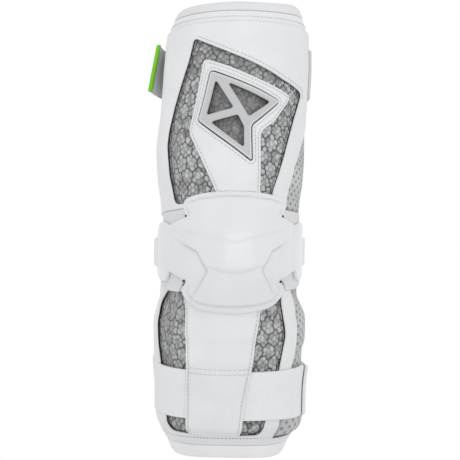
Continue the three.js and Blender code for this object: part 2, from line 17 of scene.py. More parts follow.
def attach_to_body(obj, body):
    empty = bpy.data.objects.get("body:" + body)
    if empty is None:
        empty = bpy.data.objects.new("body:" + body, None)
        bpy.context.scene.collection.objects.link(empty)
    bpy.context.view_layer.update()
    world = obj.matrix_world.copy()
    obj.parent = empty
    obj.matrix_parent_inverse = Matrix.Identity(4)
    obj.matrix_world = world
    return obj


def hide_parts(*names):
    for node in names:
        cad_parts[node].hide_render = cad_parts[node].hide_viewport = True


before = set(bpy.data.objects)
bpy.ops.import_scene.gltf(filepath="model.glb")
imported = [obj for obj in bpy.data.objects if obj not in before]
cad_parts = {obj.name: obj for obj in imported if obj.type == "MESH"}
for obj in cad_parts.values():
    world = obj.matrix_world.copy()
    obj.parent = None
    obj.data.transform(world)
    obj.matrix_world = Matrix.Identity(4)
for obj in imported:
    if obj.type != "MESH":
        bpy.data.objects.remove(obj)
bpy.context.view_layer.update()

MM = 0.001
BODY = "root"
print("frame:", len(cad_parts), "nodes")

# %% [markdown]
# The arm is straight above and below the elbow and bends evenly in between. Its width changes by a short
# table of sections. A place on the guard is a turn in degrees round the arm, from the front to the right,
# a length along it, and a height over the sleeve.

# %% The arm
UPPER_ARM = 194 * MM
FOREARM = 154 * MM
HALF_WIDTH = 52 * MM
DEPTH_SHARE = 0.95
SIDE_DRIFT = 7.5 * MM
UPPER_LEAN = 8
FORE_LEAN = 14
BEND_REACH = 40 * MM
RIM_RISE_RIGHT = 5.3 * MM
RIM_RISE_LEFT = 1.6 * MM
RIM_RISES_FROM = 170 * MM
RIM_DROP_RIGHT = 7.3 * MM
RIM_DROP_LEFT = 5.7 * MM
RIM_DROPS_FROM = -118 * MM
RIM_DROPS_TO = -134 * MM

# Each row is a place as a share of its arm's length, and the width and the drift there as shares.
SECTIONS = [
    (-1, 0.8, -0.27), (-0.92, 0.895, -0.25), (-0.87, 0.935, -0.23), (-0.81, 0.98, -0.2),
    (-0.68, 0.98, -0.16), (-0.55, 1.01, -0.12), (-0.45, 1.015, -0.1), (-0.34, 1.02, -0.08),
    (-0.26, 0.97, -0.06), (-0.19, 0.92, -0.04), (-0.1, 0.92, 0), (0, 0.925, 0), (0.1, 0.925, 0.06),
    (0.2, 0.935, 0.13), (0.3, 0.985, 0.16), (0.42, 1.01, 0.17), (0.6, 0.985, 0.48), (0.75, 0.985, 0.73),
    (0.9, 0.99, 0.9), (0.955, 0.95, 0.95), (0.985, 0.9, 0.98), (1, 0.85, 1),
]


def length_at(share):
    """A share of the upper arm's length, or below zero of the forearm's."""
    share = np.asarray(share, float)
    return share * np.where(share > 0, UPPER_ARM, FOREARM)


def smoothly(x, table_x, table_y):
    """A curve through the rows of a table that doesn't overshoot them."""
    slope = np.diff(table_y) / np.diff(table_x)
    before, after = np.append(slope[0], slope), np.append(slope, slope[-1])
    same_way = before * after > 0
    tangent = np.where(same_way, 2 * before * after / np.where(same_way, before + after, 1), 0)
    i = np.clip(np.searchsorted(table_x, x) - 1, 0, len(table_x) - 2)
    width = table_x[i + 1] - table_x[i]
    t = (x - table_x[i]) / width
    return ((1 + 2 * t) * (1 - t) ** 2 * table_y[i] + t * (1 - t) ** 2 * width * tangent[i]
            + t * t * (3 - 2 * t) * table_y[i + 1] + t * t * (t - 1) * width * tangent[i + 1])


share, wide, aside = np.array(SECTIONS).T
section_at, section_wide, section_aside = length_at(share), wide * HALF_WIDTH, aside * SIDE_DRIFT


def rim_shift(turn, along, starts, ends, right, left, power):
    """How far a rim moves along the arm at its right and left sides. In front it keeps its place."""
    side = np.sin(np.radians(turn))
    share = np.clip((along - starts) / (ends - starts), 0, 1)
    return share * ((right + left) / 2 * side ** power + (right - left) / 2 * side ** (power - 1))


def on_arm(turn, along, height):
    """Points on the guard, in metres."""
    turn, along, height = np.broadcast_arrays(*np.atleast_1d(turn, along, height))
    wide = smoothly(along, section_at, section_wide)
    aside = smoothly(along, section_at, section_aside)
    rise = rim_shift(turn, along, RIM_RISES_FROM, UPPER_ARM, RIM_RISE_RIGHT, RIM_RISE_LEFT, 4)
    drop = rim_shift(turn, along, RIM_DROPS_FROM, RIM_DROPS_TO, RIM_DROP_RIGHT, RIM_DROP_LEFT, 2)
    along = along + rise - drop
    half = math.radians((UPPER_LEAN + FORE_LEAN) / 2)
    middle = math.radians((UPPER_LEAN - FORE_LEAN) / 2)
    radius = BEND_REACH / half
    in_bend = np.clip(along, -BEND_REACH, BEND_REACH)
    lean = middle + in_bend / radius
    beyond = along - in_bend
    angle = np.radians(turn)
    across = np.sin(angle) * (wide + height)
    outward = np.cos(angle) * (wide * DEPTH_SHARE + height)
    return np.stack([
        aside + across,
        radius * (math.cos(middle) - np.cos(lean)) + beyond * np.sin(lean) - np.cos(lean) * outward,
        radius * (np.sin(lean) - math.sin(middle)) + beyond * np.cos(lean) + np.sin(lean) * outward,
    ], axis=-1)


rim = on_arm(np.arange(0, 360, 10), UPPER_ARM, 0)
print("upper rim is", round(float(np.ptp(rim[:, 0])) / MM), "mm wide")

# %% [markdown]
# The layers lie on each other in the order of the real guard: sleeve, foam, leather shells, then the cap
# and the straps. Each height below says where the underside of a layer is, so nothing can cross.

# %% Heights of the layers
GAP = 0.4 * MM
SLEEVE_WALL = 2.4 * MM
BAND_WALL = 2 * MM
SHELL_WALL = 2.2 * MM
LATTICE_WALL = 3 * MM
CAP_WALL = 2.6 * MM
STRAP_WALL = 1.8 * MM
FOAM = 3.2 * MM
FRONT_FOAM = 3.8 * MM
TOP_TAPER = 30 * MM
BOTTOM_TAPER = 17 * MM
CUSHION = 9 * MM
CUSHION_TURN = 50
CUSHION_AT = 5 * MM
CUSHION_REACH = 40 * MM
CAP_TURN = 3.5
CAP_UP = 41 * MM
CAP_DOWN = 31 * MM
SHELL_TOP_AT = 0.907
SHELL_BOTTOM_AT = -0.92
BORDER_TOP_AT = -0.877
SHELL_LEFT_TURN = -105
MESH_BACK_TURN = 135
LOWER_STRAP_AT = -0.63
LOWER_STRAP_WIDTH = 40 * MM
STRAP_PRESS = 0.9 * MM
COMING_DOWN = 30


def ramp(value, start, end):
    """0 before start and 1 after end, with a soft rise in between."""
    t = np.clip((value - start) / (end - start), 0, 1)
    return t * t * (3 - 2 * t)


def pad_top(turn, along):
    """The foam is thicker in front and raised under the cap, and thins out at the shells' ends."""
    top = (length_at(SHELL_TOP_AT) - along) / TOP_TAPER
    bottom = (along - length_at(SHELL_BOTTOM_AT)) / BOTTOM_TAPER
    fullness = np.clip(np.minimum(top, bottom), 0, 1)
    front = FRONT_FOAM * np.maximum(0, np.cos(np.radians(turn)))
    cushion = CUSHION * np.maximum(0, 1 - ((turn - CAP_TURN) / CUSHION_TURN) ** 2)
    cushion = cushion * np.maximum(0, 1 - ((along - CUSHION_AT) / CUSHION_REACH) ** 2)
    end = np.where(along > 0, BAND_WALL, -GAP)
    return GAP + end + fullness * (FOAM + front + cushion - end)


def shell_foot(turn, along):
    return pad_top(turn, along) + GAP


def shell_top(turn, along):
    return shell_foot(turn, along) + SHELL_WALL


def cap_foot(turn, along):
    return shell_top(turn, along) + GAP


def round_the_back(base, leaving_turn):
    """What goes round the back leaves its base behind that turn and comes down on the sleeve."""
    def foot(turn, along):
        front_turn = turn - 360 * np.round(turn / 360)
        carried = 1 - ramp(np.abs(front_turn), leaving_turn, leaving_turn + COMING_DOWN)
        return GAP + carried * base(front_turn, along)
    return foot


def panel_foot(turn, along):
    """The forearm panel lies on the foam and is lifted over the strap."""
    from_strap = np.abs(along - length_at(LOWER_STRAP_AT)) - LOWER_STRAP_WIDTH / 2
    lifted = 1 - ramp(from_strap, 4 * MM, 24 * MM)
    return shell_foot(turn, along) + lifted * (SHELL_WALL + STRAP_WALL + 2 * GAP)


upper_strap_foot = round_the_back(shell_top, -SHELL_LEFT_TURN)
elbow_strap_foot = round_the_back(lambda turn, along: cap_foot(turn, along) + CAP_WALL, -SHELL_LEFT_TURN)
lower_strap_foot = round_the_back(
    lambda turn, along: shell_top(turn, along) - STRAP_PRESS * ramp(-turn, 40, 80), MESH_BACK_TURN)
print("foam in front is", round(float(pad_top(0, 90 * MM)) / MM, 1), "mm thick")

# %% [markdown]
# A flat pattern is drawn in metres, with the turn as its width. The blank is cut along its outline and
# filled with small triangles. Rings of points follow the edge closely, so that a rolled edge and a stitched
# groove keep their form, and each point knows how far it is from the edge.

# %% Flat blanks
WIDE = math.radians(59 * MM)
Corner = namedtuple("Corner", "turn at round", defaults=(0,))
Blank = namedtuple("Blank", "points faces edge loop")


def corners(*rows):
    return [Corner(*row) for row in rows]


def level(x, y):
    """Points of the pattern side by side at one length."""
    return np.stack([x, np.full_like(x, y)], axis=1)


def closed_line(points, step):
    """The same closed line with points no further apart than the step."""
    after = np.roll(points, -1, axis=0)
    parts = []
    for a, b in zip(points, after):
        count = max(1, math.ceil(np.linalg.norm(b - a) / step))
        parts.append(a + (b - a) * (np.arange(count) / count)[:, None])
    return np.concatenate(parts)


def outline(rows, step=1.1 * MM):
    """A closed outline from corners, with the round ones as short curves. A round is in millimetres."""
    spots = np.array([[row.turn * WIDE, length_at(row.at)] for row in rows])
    line = []
    for i, (row, spot) in enumerate(zip(rows, spots)):
        if not row.round:
            line.append(spot)
            continue
        ends = []
        for other in (spots[i - 1], spots[(i + 1) % len(rows)]):
            way = other - spot
            ends.append(spot + way * min(row.round * MM / np.linalg.norm(way), 0.5))
        for t in np.linspace(0, 1, 9):
            line.append((1 - t) ** 2 * ends[0] + 2 * t * (1 - t) * spot + t * t * ends[1])
    return closed_line(np.array(line), step)


def inside(points, loops):
    """Which points lie inside the loops and outside their holes."""
    odd = np.zeros(len(points), bool)
    for loop in loops:
        for a, b in zip(loop, np.roll(loop, -1, axis=0)):
            if a[1] == b[1]:
                continue
            crosses = (a[1] > points[:, 1]) != (b[1] > points[:, 1])
            x = a[0] + (points[:, 1] - a[1]) * (b[0] - a[0]) / (b[1] - a[1])
            odd ^= crosses & (points[:, 0] < x)
    return odd


def from_edge(points, loops):
    """How far each point is from the loops, and which loop is nearest."""
    best = np.full(len(points), np.inf)
    nearest = np.zeros(len(points), int)
    for number, loop in enumerate(loops):
        for a, b in zip(loop, np.roll(loop, -1, axis=0)):
            way = b - a
            t = np.clip((points - a) @ way / max(way @ way, 1e-18), 0, 1)
            away = np.hypot(points[:, 0] - a[0] - t * way[0], points[:, 1] - a[1] - t * way[1])
            closer = away < best
            best[closer] = away[closer]
            nearest[closer] = number
    return best, nearest


def sideways(line, distance):
    """A closed line moved by a distance to its left."""
    way = np.roll(line, -1, axis=0) - np.roll(line, 1, axis=0)
    way /= np.maximum(np.linalg.norm(way, axis=1), 1e-12)[:, None]
    return line + distance * np.stack([-way[:, 1], way[:, 0]], axis=1)


def widen(loop, distance):
    """A hole that is wider by a distance on every side."""
    return max((sideways(loop, side * distance) for side in (-1, 1)), key=lambda line: np.ptp(line[:, 0]))


def turning(points, faces):
    """Twice the area of each triangle, below zero where its corners run clockwise."""
    a, b, c = (points[faces[:, k]] for k in range(3))
    return (b - a)[:, 0] * (c - a)[:, 1] - (b - a)[:, 1] * (c - a)[:, 0]


def cut_blank(loops, rings=(0.35, 0.8, 1.5, 2.1, 2.7, 3.4, 4.4), grain=2.4 * MM):
    """A flat blank inside the first loop and outside the others. The rings are in millimetres."""
    found = [sideways(loop, side * ring * MM) for ring in rings for loop in loops for side in (-1, 1)]
    ring_of = np.repeat(np.repeat(rings, 2 * len(loops)), [len(part) for part in found])
    found = np.concatenate(found)
    edge, _ = from_edge(found, loops)
    found = found[inside(found, loops) & (edge > 0.93 * ring_of * MM)]
    low, high = loops[0].min(axis=0), loops[0].max(axis=0)
    grid = np.concatenate([level(np.arange(low[0] + grain / 2 * (i % 2), high[0], grain), y)
                           for i, y in enumerate(np.arange(low[1], high[1], grain * math.sqrt(3) / 2))])
    edge, _ = from_edge(grid, loops)
    grid = grid[inside(grid, loops) & (edge > rings[-1] * MM + 0.4 * grain)]
    edges, start = [], 0
    for loop in loops:
        edges += [(start + i, start + (i + 1) % len(loop)) for i in range(len(loop))]
        start += len(loop)
    flat = np.concatenate([*loops, found, grid])
    points, _, faces, *_ = delaunay_2d_cdt([Vector(p) for p in flat], edges, [], 0, 1e-7)
    points, faces = np.array([p[:] for p in points]), np.array(faces)
    faces = faces[inside(points[faces].mean(axis=1), loops)]
    used, faces = np.unique(faces, return_inverse=True)
    points, faces = points[used], faces.reshape(-1, 3)
    clockwise = turning(points, faces) < 0
    faces[clockwise] = faces[clockwise][:, ::-1]
    return Blank(points, faces, *from_edge(points, loops))


def grid_faces(count, deep, joined=False, tube=False):
    """Two triangles for each place of a grid of lines. joined closes it round the arm, tube round itself."""
    i, k = (part.ravel() for part in np.meshgrid(
        np.arange(count if joined else count - 1), np.arange(deep if tube else deep - 1), indexing="ij"))
    j, m = (i + 1) % count, (k + 1) % deep
    a, b, c, d = i * deep + k, j * deep + k, j * deep + m, i * deep + m
    return np.concatenate([np.stack([a, b, c], axis=1), np.stack([a, c, d], axis=1)])


def strip_blank(turns, low, high, closed=False, rows=8):
    """A strip between two lines, low and high, which are functions of the turn. closed joins its ends."""
    bottom, top = np.broadcast_to(low(turns), turns.shape), np.broadcast_to(high(turns), turns.shape)
    near = np.array([0, 0.35, 0.8, 1.5, 2.3]) * MM
    width = (top - bottom).mean()
    across = np.concatenate([near, np.linspace(near[-1], width - near[-1], rows)[1:-1], width - near[::-1]])
    along = bottom[:, None] + (top - bottom)[:, None] * (across / width)[None, :]
    count, deep = along.shape
    points = np.stack([np.repeat(turns * WIDE, deep), along.ravel()], axis=1)
    edge = np.tile(np.minimum(across, width - across), count)
    if not closed:
        ends = np.minimum(turns - turns[0], turns[-1] - turns) * WIDE
        edge = np.minimum(edge, np.repeat(ends, deep))
    return Blank(points, grid_faces(count, deep, closed), edge, np.zeros(len(points), int))


def place(blank):
    """The turn and the length of a blank's points."""
    return blank.points[:, 0] / WIDE, blank.points[:, 1]


def rounded(edge, radius):
    """A quarter of a circle: 0 at the edge, and 1 from the radius inwards."""
    return np.sqrt(1 - (1 - np.clip(edge / radius, 0, 1)) ** 2)


# %% [markdown]
# The nodes of a finish are long to write, so one small class wraps a socket. Sums and products of wires then
# add the Math nodes by themselves, and node() adds any other kind. Colours aren't summed, but mixed.

# %% Wires
def put(target, value):
    """Links a wire to a socket, or sets the socket to a plain value."""
    if isinstance(value, Wire):
        target.id_data.links.new(value.socket, target)
    else:
        target.default_value = value


class Wire:
    """A socket of a material's nodes, to be used in sums like a number."""

    def __init__(self, socket):
        self.socket = socket

    def node(self, kind, settings=(), **inputs):
        """Adds a node. Its inputs are named by their place, as in0=, or by their name."""
        made = self.socket.id_data.nodes.new(kind)
        for name, value in dict(settings).items():
            setattr(made, name, value)
        for name, value in inputs.items():
            numbered = name.startswith("in") and name[2:].isdigit()
            put(made.inputs[int(name[2:]) if numbered else name.replace("_", " ")], value)
        return Wire(made.outputs[0])

    def maths(self, operation, *others):
        inputs = {f"in{i}": value for i, value in enumerate((self, *others))}
        return self.node("ShaderNodeMath", {"operation": operation}, **inputs)

    def __add__(self, other):
        return self.maths("ADD", other)

    def __mul__(self, other):
        return self.maths("MULTIPLY", other)

    def __sub__(self, other):
        return self.maths("SUBTRACT", other)

    def __rsub__(self, other):
        return self.node("ShaderNodeMath", {"operation": "SUBTRACT"}, in0=other, in1=self)

    def __truediv__(self, other):
        return self.maths("DIVIDE", other)

    __radd__ = __add__
    __rmul__ = __mul__

    def split(self):
        """The x and y of a vector."""
        made = self.node("ShaderNodeSeparateXYZ", in0=self).socket.node
        return Wire(made.outputs[0]), Wire(made.outputs[1])

    def sine(self, length):
        """A wave from -1 to 1, with its length in the wire's own unit."""
        return (self * (2 * math.pi / length)).maths("SINE")

    def noise(self, scale, detail, roughness=0.5):
        return self.node("ShaderNodeTexNoise", Vector=self, Scale=scale, Detail=detail, Roughness=roughness)

    def ramp(self, start, end):
        """A soft step from 0 to 1 between two values."""
        return self.node("ShaderNodeMapRange", {"interpolation_type": "SMOOTHSTEP"}, in0=self,
                         in1=start, in2=end)

    def mix(self, first, second):
        """A colour between two, with this wire as the share of the second."""
        made = self.node("ShaderNodeMix", {"data_type": "RGBA"}).socket.node
        for place, value in ((0, self), (6, first), (7, second)):
            put(made.inputs[place], value if isinstance(value, Wire) else (*value, 1))
        return Wire(made.outputs[2])


def start_finish(name, **sockets):
    """A new material and its shader, with some of the shader's sockets set."""
    material = bpy.data.materials.new(name)
    material.use_nodes = True
    shader = material.node_tree.nodes["Principled BSDF"]
    for socket, value in sockets.items():
        shader.inputs[socket.replace("_", " ")].default_value = value
    return material, shader


def read(shader, kind, output, **settings):
    """A first wire, from a node that reads the piece."""
    made = shader.id_data.nodes.new(kind)
    for name, value in settings.items():
        setattr(made, name, value)
    return Wire(made.outputs[output])


def place_of(shader):
    """The place on the piece, in metres."""
    return read(shader, "ShaderNodeTexCoord", "Object")


def pattern_of(shader):
    """The x and y of the piece's flat pattern, in millimetres."""
    return read(shader, "ShaderNodeUVMap", "UV", uv_map="pattern").split()


def value_of(shader, name):
    """A number that the piece keeps for each of its points."""
    return read(shader, "ShaderNodeAttribute", "Fac", attribute_name=name)


def shaded(colour, share):
    return tuple(share * part for part in colour)


def feed(shader, name, wire):
    put(shader.inputs[name], wire)


def feed_bump(shader, wire, depth):
    """Turns a height from 0 to 1 into a bump, with its depth in millimetres."""
    feed(shader, "Normal", wire.node("ShaderNodeBump", Strength=1.0, Distance=depth * MM, Height=wire))


# %% [markdown]
# The white shells are synthetic leather over thin foam. Close up it has a fine grain of rounded cells, a
# little unevenness in gloss, and faint soft marks where it has been handled. The grain is made by a Voronoi
# pattern in the piece's own coordinates, and noise at two sizes varies the colour and the gloss.

# %% Leather, painted shade for walls and holes, and thread
def leather(name, colour, roughness, grain=0.7):
    """Leather with the size of its grain in millimetres."""
    material, shader = start_finish(name, Roughness=roughness, Specular_IOR_Level=0.35)
    spot = place_of(shader)
    pebbles = spot.node("ShaderNodeTexVoronoi", {"feature": "SMOOTH_F1"}, Vector=spot, Scale=1 / (grain * MM))
    fine = spot.noise(900.0, 3.0)
    handled = spot.noise(28.0, 4.0, 0.6).ramp(0.3, 0.75)
    feed(shader, "Base Color", handled.mix(shaded(colour, 0.94), colour))
    feed(shader, "Roughness", roughness - 0.06 + 0.12 * fine)
    feed_bump(shader, pebbles + fine * 0.5, 0.06)
    return material


white_leather = leather("white leather", (0.74, 0.745, 0.76), 0.5)
hem_leather = leather("hem leather", (0.70, 0.705, 0.72), 0.55, grain=0.9)
# The lower hem's leather is a lighter copy of the hem leather: painted light against the shade at the bottom.
lit_lower_hem_leather = leather("lower hem leather", (0.81, 0.815, 0.83), 0.55, grain=0.9)


def plain(name, colour, roughness, depth=0.1):
    """A dull finish with fine unevenness in its colour and its surface."""
    material, shader = start_finish(name, Roughness=roughness)
    fine = place_of(shader).noise(1500.0, 3.0)
    feed(shader, "Base Color", fine.ramp(0.3, 0.7).mix(shaded(colour, 0.8), colour))
    feed_bump(shader, fine, depth)
    return material


# Near-black for the walls of windows and holes: painted shade for the shadow in them.
near_black_wall_shade = plain("near-black wall shade", (0.012, 0.012, 0.013), 0.9)
thread = plain("white thread", (0.68, 0.685, 0.70), 0.7, depth=0.05)
# Dark colours of the needle holes: painted shade in the holes.
faint_hole_shade = plain("faint needle hole", (0.56, 0.56, 0.57), 0.9)
dark_hole_shade = plain("dark needle hole shade", (0.12, 0.12, 0.125), 0.9)
soft_hole_shade = plain("soft needle hole shade", (0.42, 0.42, 0.43), 0.9)
print("finishes so far:", white_leather.name, near_black_wall_shade.name, thread.name)

# %% [markdown]
# The elastic is woven with fine ribs across it, so its bump is a wave along the strap with a slight second
# wave for the picks. The mesh is a padded knit with staggered oval holes. Both follow the pattern of the
# piece, so that the rows run with it round the arm. The holes fit a whole number of times round the arm, so
# their rows meet at the back.

# %% Elastic, mesh, foam and lattice
PICK = 0.9
STITCH_OF_KNIT = 0.8
HOLE_PITCH = 360 * WIDE / MM / 39
HOLE_ROW = 3.5
HOLE_WIDE, HOLE_HIGH = 1.75, 1.15


def elastic(name, colour, rib=1.5):
    """Elastic with the width of its ribs in millimetres."""
    material, shader = start_finish(name, Roughness=0.75)
    x, y = pattern_of(shader)
    ribs, picks = (wave * 0.5 + 0.5 for wave in (x.sine(rib), y.sine(PICK)))
    # The colour is darker in the valleys of the ribs: painted shade.
    feed(shader, "Base Color", ribs.ramp(0.0, 1.0).mix(shaded(colour, 0.93), colour))
    feed_bump(shader, ribs + picks * 0.35, 0.16)
    return material


def mesh_cloth(name, colour, hole):
    """Padded knit with oval holes, staggered from row to row."""
    material, shader = start_finish(name, Roughness=0.8)
    x, y = pattern_of(shader)
    shift = (y / HOLE_ROW).maths("FLOOR").maths("PINGPONG", 1.0) * 0.5
    across = ((x / HOLE_PITCH + shift).maths("FRACT") - 0.5) * (HOLE_PITCH / HOLE_WIDE)
    up = ((y / HOLE_ROW).maths("FRACT") - 0.5) * (HOLE_ROW / HOLE_HIGH)
    cloth = (across * across + up * up).maths("SQRT").ramp(0.55, 1.25)
    knit = x.sine(STITCH_OF_KNIT) * y.sine(STITCH_OF_KNIT) * 0.5 + 0.5
    broad = place_of(shader).noise(60.0, 3.0).ramp(0.25, 0.75)
    feed(shader, "Base Color", cloth.mix(hole, broad.mix(shaded(colour, 0.85), shaded(colour, 1.08))))
    feed_bump(shader, cloth * 0.8 + knit * 0.12, 0.7)
    return material


def cell_foam(name, low, high):
    """Moulded foam whose colour follows the height of its cells, darker in the grooves as painted shade."""
    material, shader = start_finish(name, Roughness=0.6)
    cell = value_of(shader, "cell")
    spots = place_of(shader).noise(420.0, 3.0)
    feed(shader, "Base Color", (cell * 0.85 + spots * 0.5 - 0.18).ramp(0.0, 1.0).mix(low, high))
    feed(shader, "Roughness", 0.75 - 0.25 * cell)
    feed_bump(shader, spots, 0.12)
    return material


def moulded(name, colour, roughness, coat=0.0, metallic=0.0):
    """Smooth plastic with the slight ripple of its mould. It is rougher along creases, and its colour is
    darker there as painted shade.
    """
    material, shader = start_finish(
        name, Roughness=roughness, Coat_Weight=coat, Coat_Roughness=0.08, Metallic=metallic)
    ripple = place_of(shader).noise(45.0, 2.0)
    fine = place_of(shader).noise(1100.0, 2.0)
    crease_shade = value_of(shader, "crease_shade")
    clean = ripple.ramp(0.3, 0.7).mix(shaded(colour, 0.97), colour)
    feed(shader, "Base Color", crease_shade.mix(clean, shaded(colour, 0.45)))
    feed(shader, "Roughness", roughness - 0.05 + 0.1 * fine + 0.3 * crease_shade)
    feed_bump(shader, ripple * 0.6 + fine * 0.05, 0.12)
    return material


white_elastic = elastic("white elastic", (0.79, 0.795, 0.81))
# The upper strap's elastic is a darker copy of the white elastic: painted shade, as that strap lies in shade.
shaded_strap_elastic = elastic("greyer elastic", (0.6, 0.605, 0.615))
tab_elastic = elastic("tab elastic", (0.7, 0.705, 0.72))
grey_webbing = elastic("grey webbing", (0.66, 0.665, 0.675), rib=1.1)
grey_mesh = mesh_cloth("grey mesh", (0.50, 0.505, 0.51), (0.24, 0.24, 0.245))
grey_foam = cell_foam("grey cell foam", (0.08, 0.08, 0.083), (0.52, 0.525, 0.53))
cap_plastic = moulded("glossy cap", (0.70, 0.71, 0.73), 0.25, coat=0.4)
silver_plastic = moulded("silver lattice", (0.64, 0.645, 0.655), 0.35, metallic=0.1)
green_tape = elastic("green tape", (0.17, 0.55, 0.01), rib=0.9)
# Near-black for the drilled holes at the cap's notches: painted shade.
notch_hole_shade = plain("notch hole shade", (0.02, 0.02, 0.02), 0.5)
print("finishes in all:", len(bpy.data.materials))

# %% [markdown]
# Every soft layer is made the same way. Its top and its underside are the blank at two heights, and a wall
# joins them round the edge. The blank's flat places are kept as the piece's own pattern, so a weave or a row
# of holes runs with the cloth.

# %% Wrapping a blank
SEAM_AT = 2.4 * MM
SEAM_DIP = 0.16 * MM
SEAM_WIDE = 0.6 * MM
PUFF = 0.3 * MM
PUFF_REACH = 5 * MM
SMOOTH_UP_TO = math.radians(50)


def dress(name, points, faces, flat, looks, look_of=None, values=None):
    """A smooth piece from triangles, with its pattern in millimetres and a value for each point. A triangle
    that joins the two ends of a blank takes its pattern on past the join."""
    mesh = bpy.data.meshes.new(name)
    mesh.from_pydata(points.tolist(), [], faces.tolist())
    at = flat[faces]
    behind = at[..., 0].max(axis=1, keepdims=True) - at[..., 0] > 180 * WIDE
    at[..., 0] += behind * 360 * WIDE
    mesh.uv_layers.new(name="pattern").data.foreach_set("uv", (at / MM).ravel())
    if look_of is not None:
        mesh.polygons.foreach_set("material_index", look_of)
    for key, value in (values or {}).items():
        mesh.attributes.new(key, "FLOAT", "POINT").data.foreach_set("value", value)
    for look in looks:
        mesh.materials.append(look)
    mesh.update()
    piece = bpy.data.objects.new(name, mesh)
    bpy.context.scene.collection.objects.link(piece)
    bpy.ops.object.select_all(action="DESELECT")
    piece.select_set(True)
    bpy.context.view_layer.objects.active = piece
    bpy.ops.object.shade_smooth_by_angle(angle=SMOOTH_UP_TO)
    piece.select_set(False)
    print(name, len(faces), "triangles")
    return piece


def layer(name, blank, top, foot, looks, values=None):
    """A closed piece between two heights. The walls of its holes get the second look."""
    count = len(blank.points)
    turn, along = place(blank)
    pairs = np.concatenate([blank.faces[:, [0, 1]], blank.faces[:, [1, 2]], blank.faces[:, [2, 0]]])
    key = np.sort(pairs, axis=1) @ np.array([count, 1])
    _, first, times = np.unique(key, return_index=True, return_counts=True)
    a, b = pairs[first[times == 1]].T
    walls = np.concatenate([np.stack([b, a, a + count], axis=1), np.stack([b, a + count, b + count], axis=1)])
    of_hole = (blank.loop[a] > 0) & (blank.loop[b] > 0)
    points = np.concatenate([on_arm(turn, along, top), on_arm(turn, along, foot)])
    faces = np.concatenate([blank.faces, blank.faces[:, ::-1] + count, walls])
    look_of = np.concatenate([np.zeros(2 * len(blank.faces), int), of_hole, of_hole])
    both = {key: np.tile(value, 2) for key, value in (values or {}).items()}
    return dress(name, points, faces, np.tile(blank.points, (2, 1)), looks, look_of, both)


def leather_edge(edge, wall, rolled):
    """Height over the underside, from a rolled edge through a stitched groove to the soft middle."""
    dip = SEAM_DIP * np.exp(-(((edge - SEAM_AT) / SEAM_WIDE) ** 2))
    rise = PUFF * (1 - np.exp(-np.maximum(edge - SEAM_AT, 0) / PUFF_REACH))
    return wall * (0.45 + 0.55 * rounded(edge, rolled)) - dip + rise


def attach(piece, node=None):
    """Puts the piece on the guard's body and hides the frame's node that it stands for."""
    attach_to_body(piece, BODY)
    if node:
        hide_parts(node)


def attach_sheet(piece, node, flat):
    attach(piece, node)


def attach_cut(piece, node, blank, folded=1.0):
    """Attaches a sheet; its blank's flat size is passed on, unused. folded is how many times a folded tape is
    as wide.
    """
    width, length = (max(float(size), 10 * MM) for size in np.ptp(blank.points, axis=0))
    area = float(np.abs(turning(blank.points, blank.faces)).sum() / 2) * folded
    attach_sheet(piece, node, (width, length))


# %% [markdown]
# Stitches are modelled, because they catch the light as the thread does. One stitch is a small rounded
# bar, made once from a sphere, and it is copied along a line of the pattern. Between two stitches lies a
# needle hole where the thread pulls the leather open, and a small dark bead there is painted shade for it.

# %% Stitches
STITCH_PITCH = 3.1 * MM
THREAD_SIZE = np.array([1.9, 0.5, 0.35]) * MM
HOLE_SIZE = np.array([0.9, 0.8, 0.3]) * MM

bpy.ops.object.select_all(action="DESELECT")
bpy.ops.mesh.primitive_uv_sphere_add(segments=8, ring_count=5, radius=1)
bpy.ops.object.mode_set(mode="EDIT")
bpy.ops.mesh.quads_convert_to_tris()
bpy.ops.object.mode_set(mode="OBJECT")
stitch_model = bpy.context.object
STITCH = np.array([v.co[:] for v in stitch_model.data.vertices])
STITCH_FACES = np.array([p.vertices[:] for p in stitch_model.data.polygons])
bpy.data.objects.remove(stitch_model)


def walk(line, closed):
    """Even steps of one stitch along a line: their middles and their directions."""
    ends = np.append(line, line[:1], axis=0) if closed else line
    run = np.append(0, np.cumsum(np.linalg.norm(np.diff(ends, axis=0), axis=1)))
    count = max(2, int(run[-1] / STITCH_PITCH))
    middle = (np.arange(count) + 0.5) * run[-1] / count
    spot, ahead, behind = (np.stack([np.interp(at, run, ends[:, k]) for k in (0, 1)], axis=1)
                           for at in (middle, middle + STITCH_PITCH / 4, middle - STITCH_PITCH / 4))
    way = ahead - behind
    return spot, way / np.linalg.norm(way, axis=1)[:, None]


def sew(name, lines, height, hole=soft_hole_shade):
    """Rows of stitches and of needle holes in painted shade along lines of the pattern, at a height on the
    form.
    """
    points, faces, flats, look_of = [], [], [], []
    for line, closed in lines:
        spots, ways = walk(line, closed)
        side = np.stack([-ways[:, 1], ways[:, 0]], axis=1)
        holes = spots + ways * (STITCH_PITCH / 2)
        for look, middle, size in ((0, spots, THREAD_SIZE), (1, holes, HOLE_SIZE)):
            local = STITCH * size / 2
            flat = middle[:, None] + local[None, :, :1] * ways[:, None] + local[None, :, 1:2] * side[:, None]
            lift = height(middle[:, 0] / WIDE, middle[:, 1])[:, None] + local[None, :, 2]
            start = sum(map(len, flats)) + len(STITCH) * np.arange(len(middle))[:, None, None]
            points.append(on_arm(flat[..., 0].ravel() / WIDE, flat[..., 1].ravel(), lift.ravel()))
            faces.append((STITCH_FACES + start).reshape(-1, 3))
            flats.append(flat.reshape(-1, 2))
            look_of.append(np.full(len(faces[-1]), look))
    piece = dress(name, *map(np.concatenate, (points, faces, flats)), [thread, hole], np.concatenate(look_of))
    attach(piece)


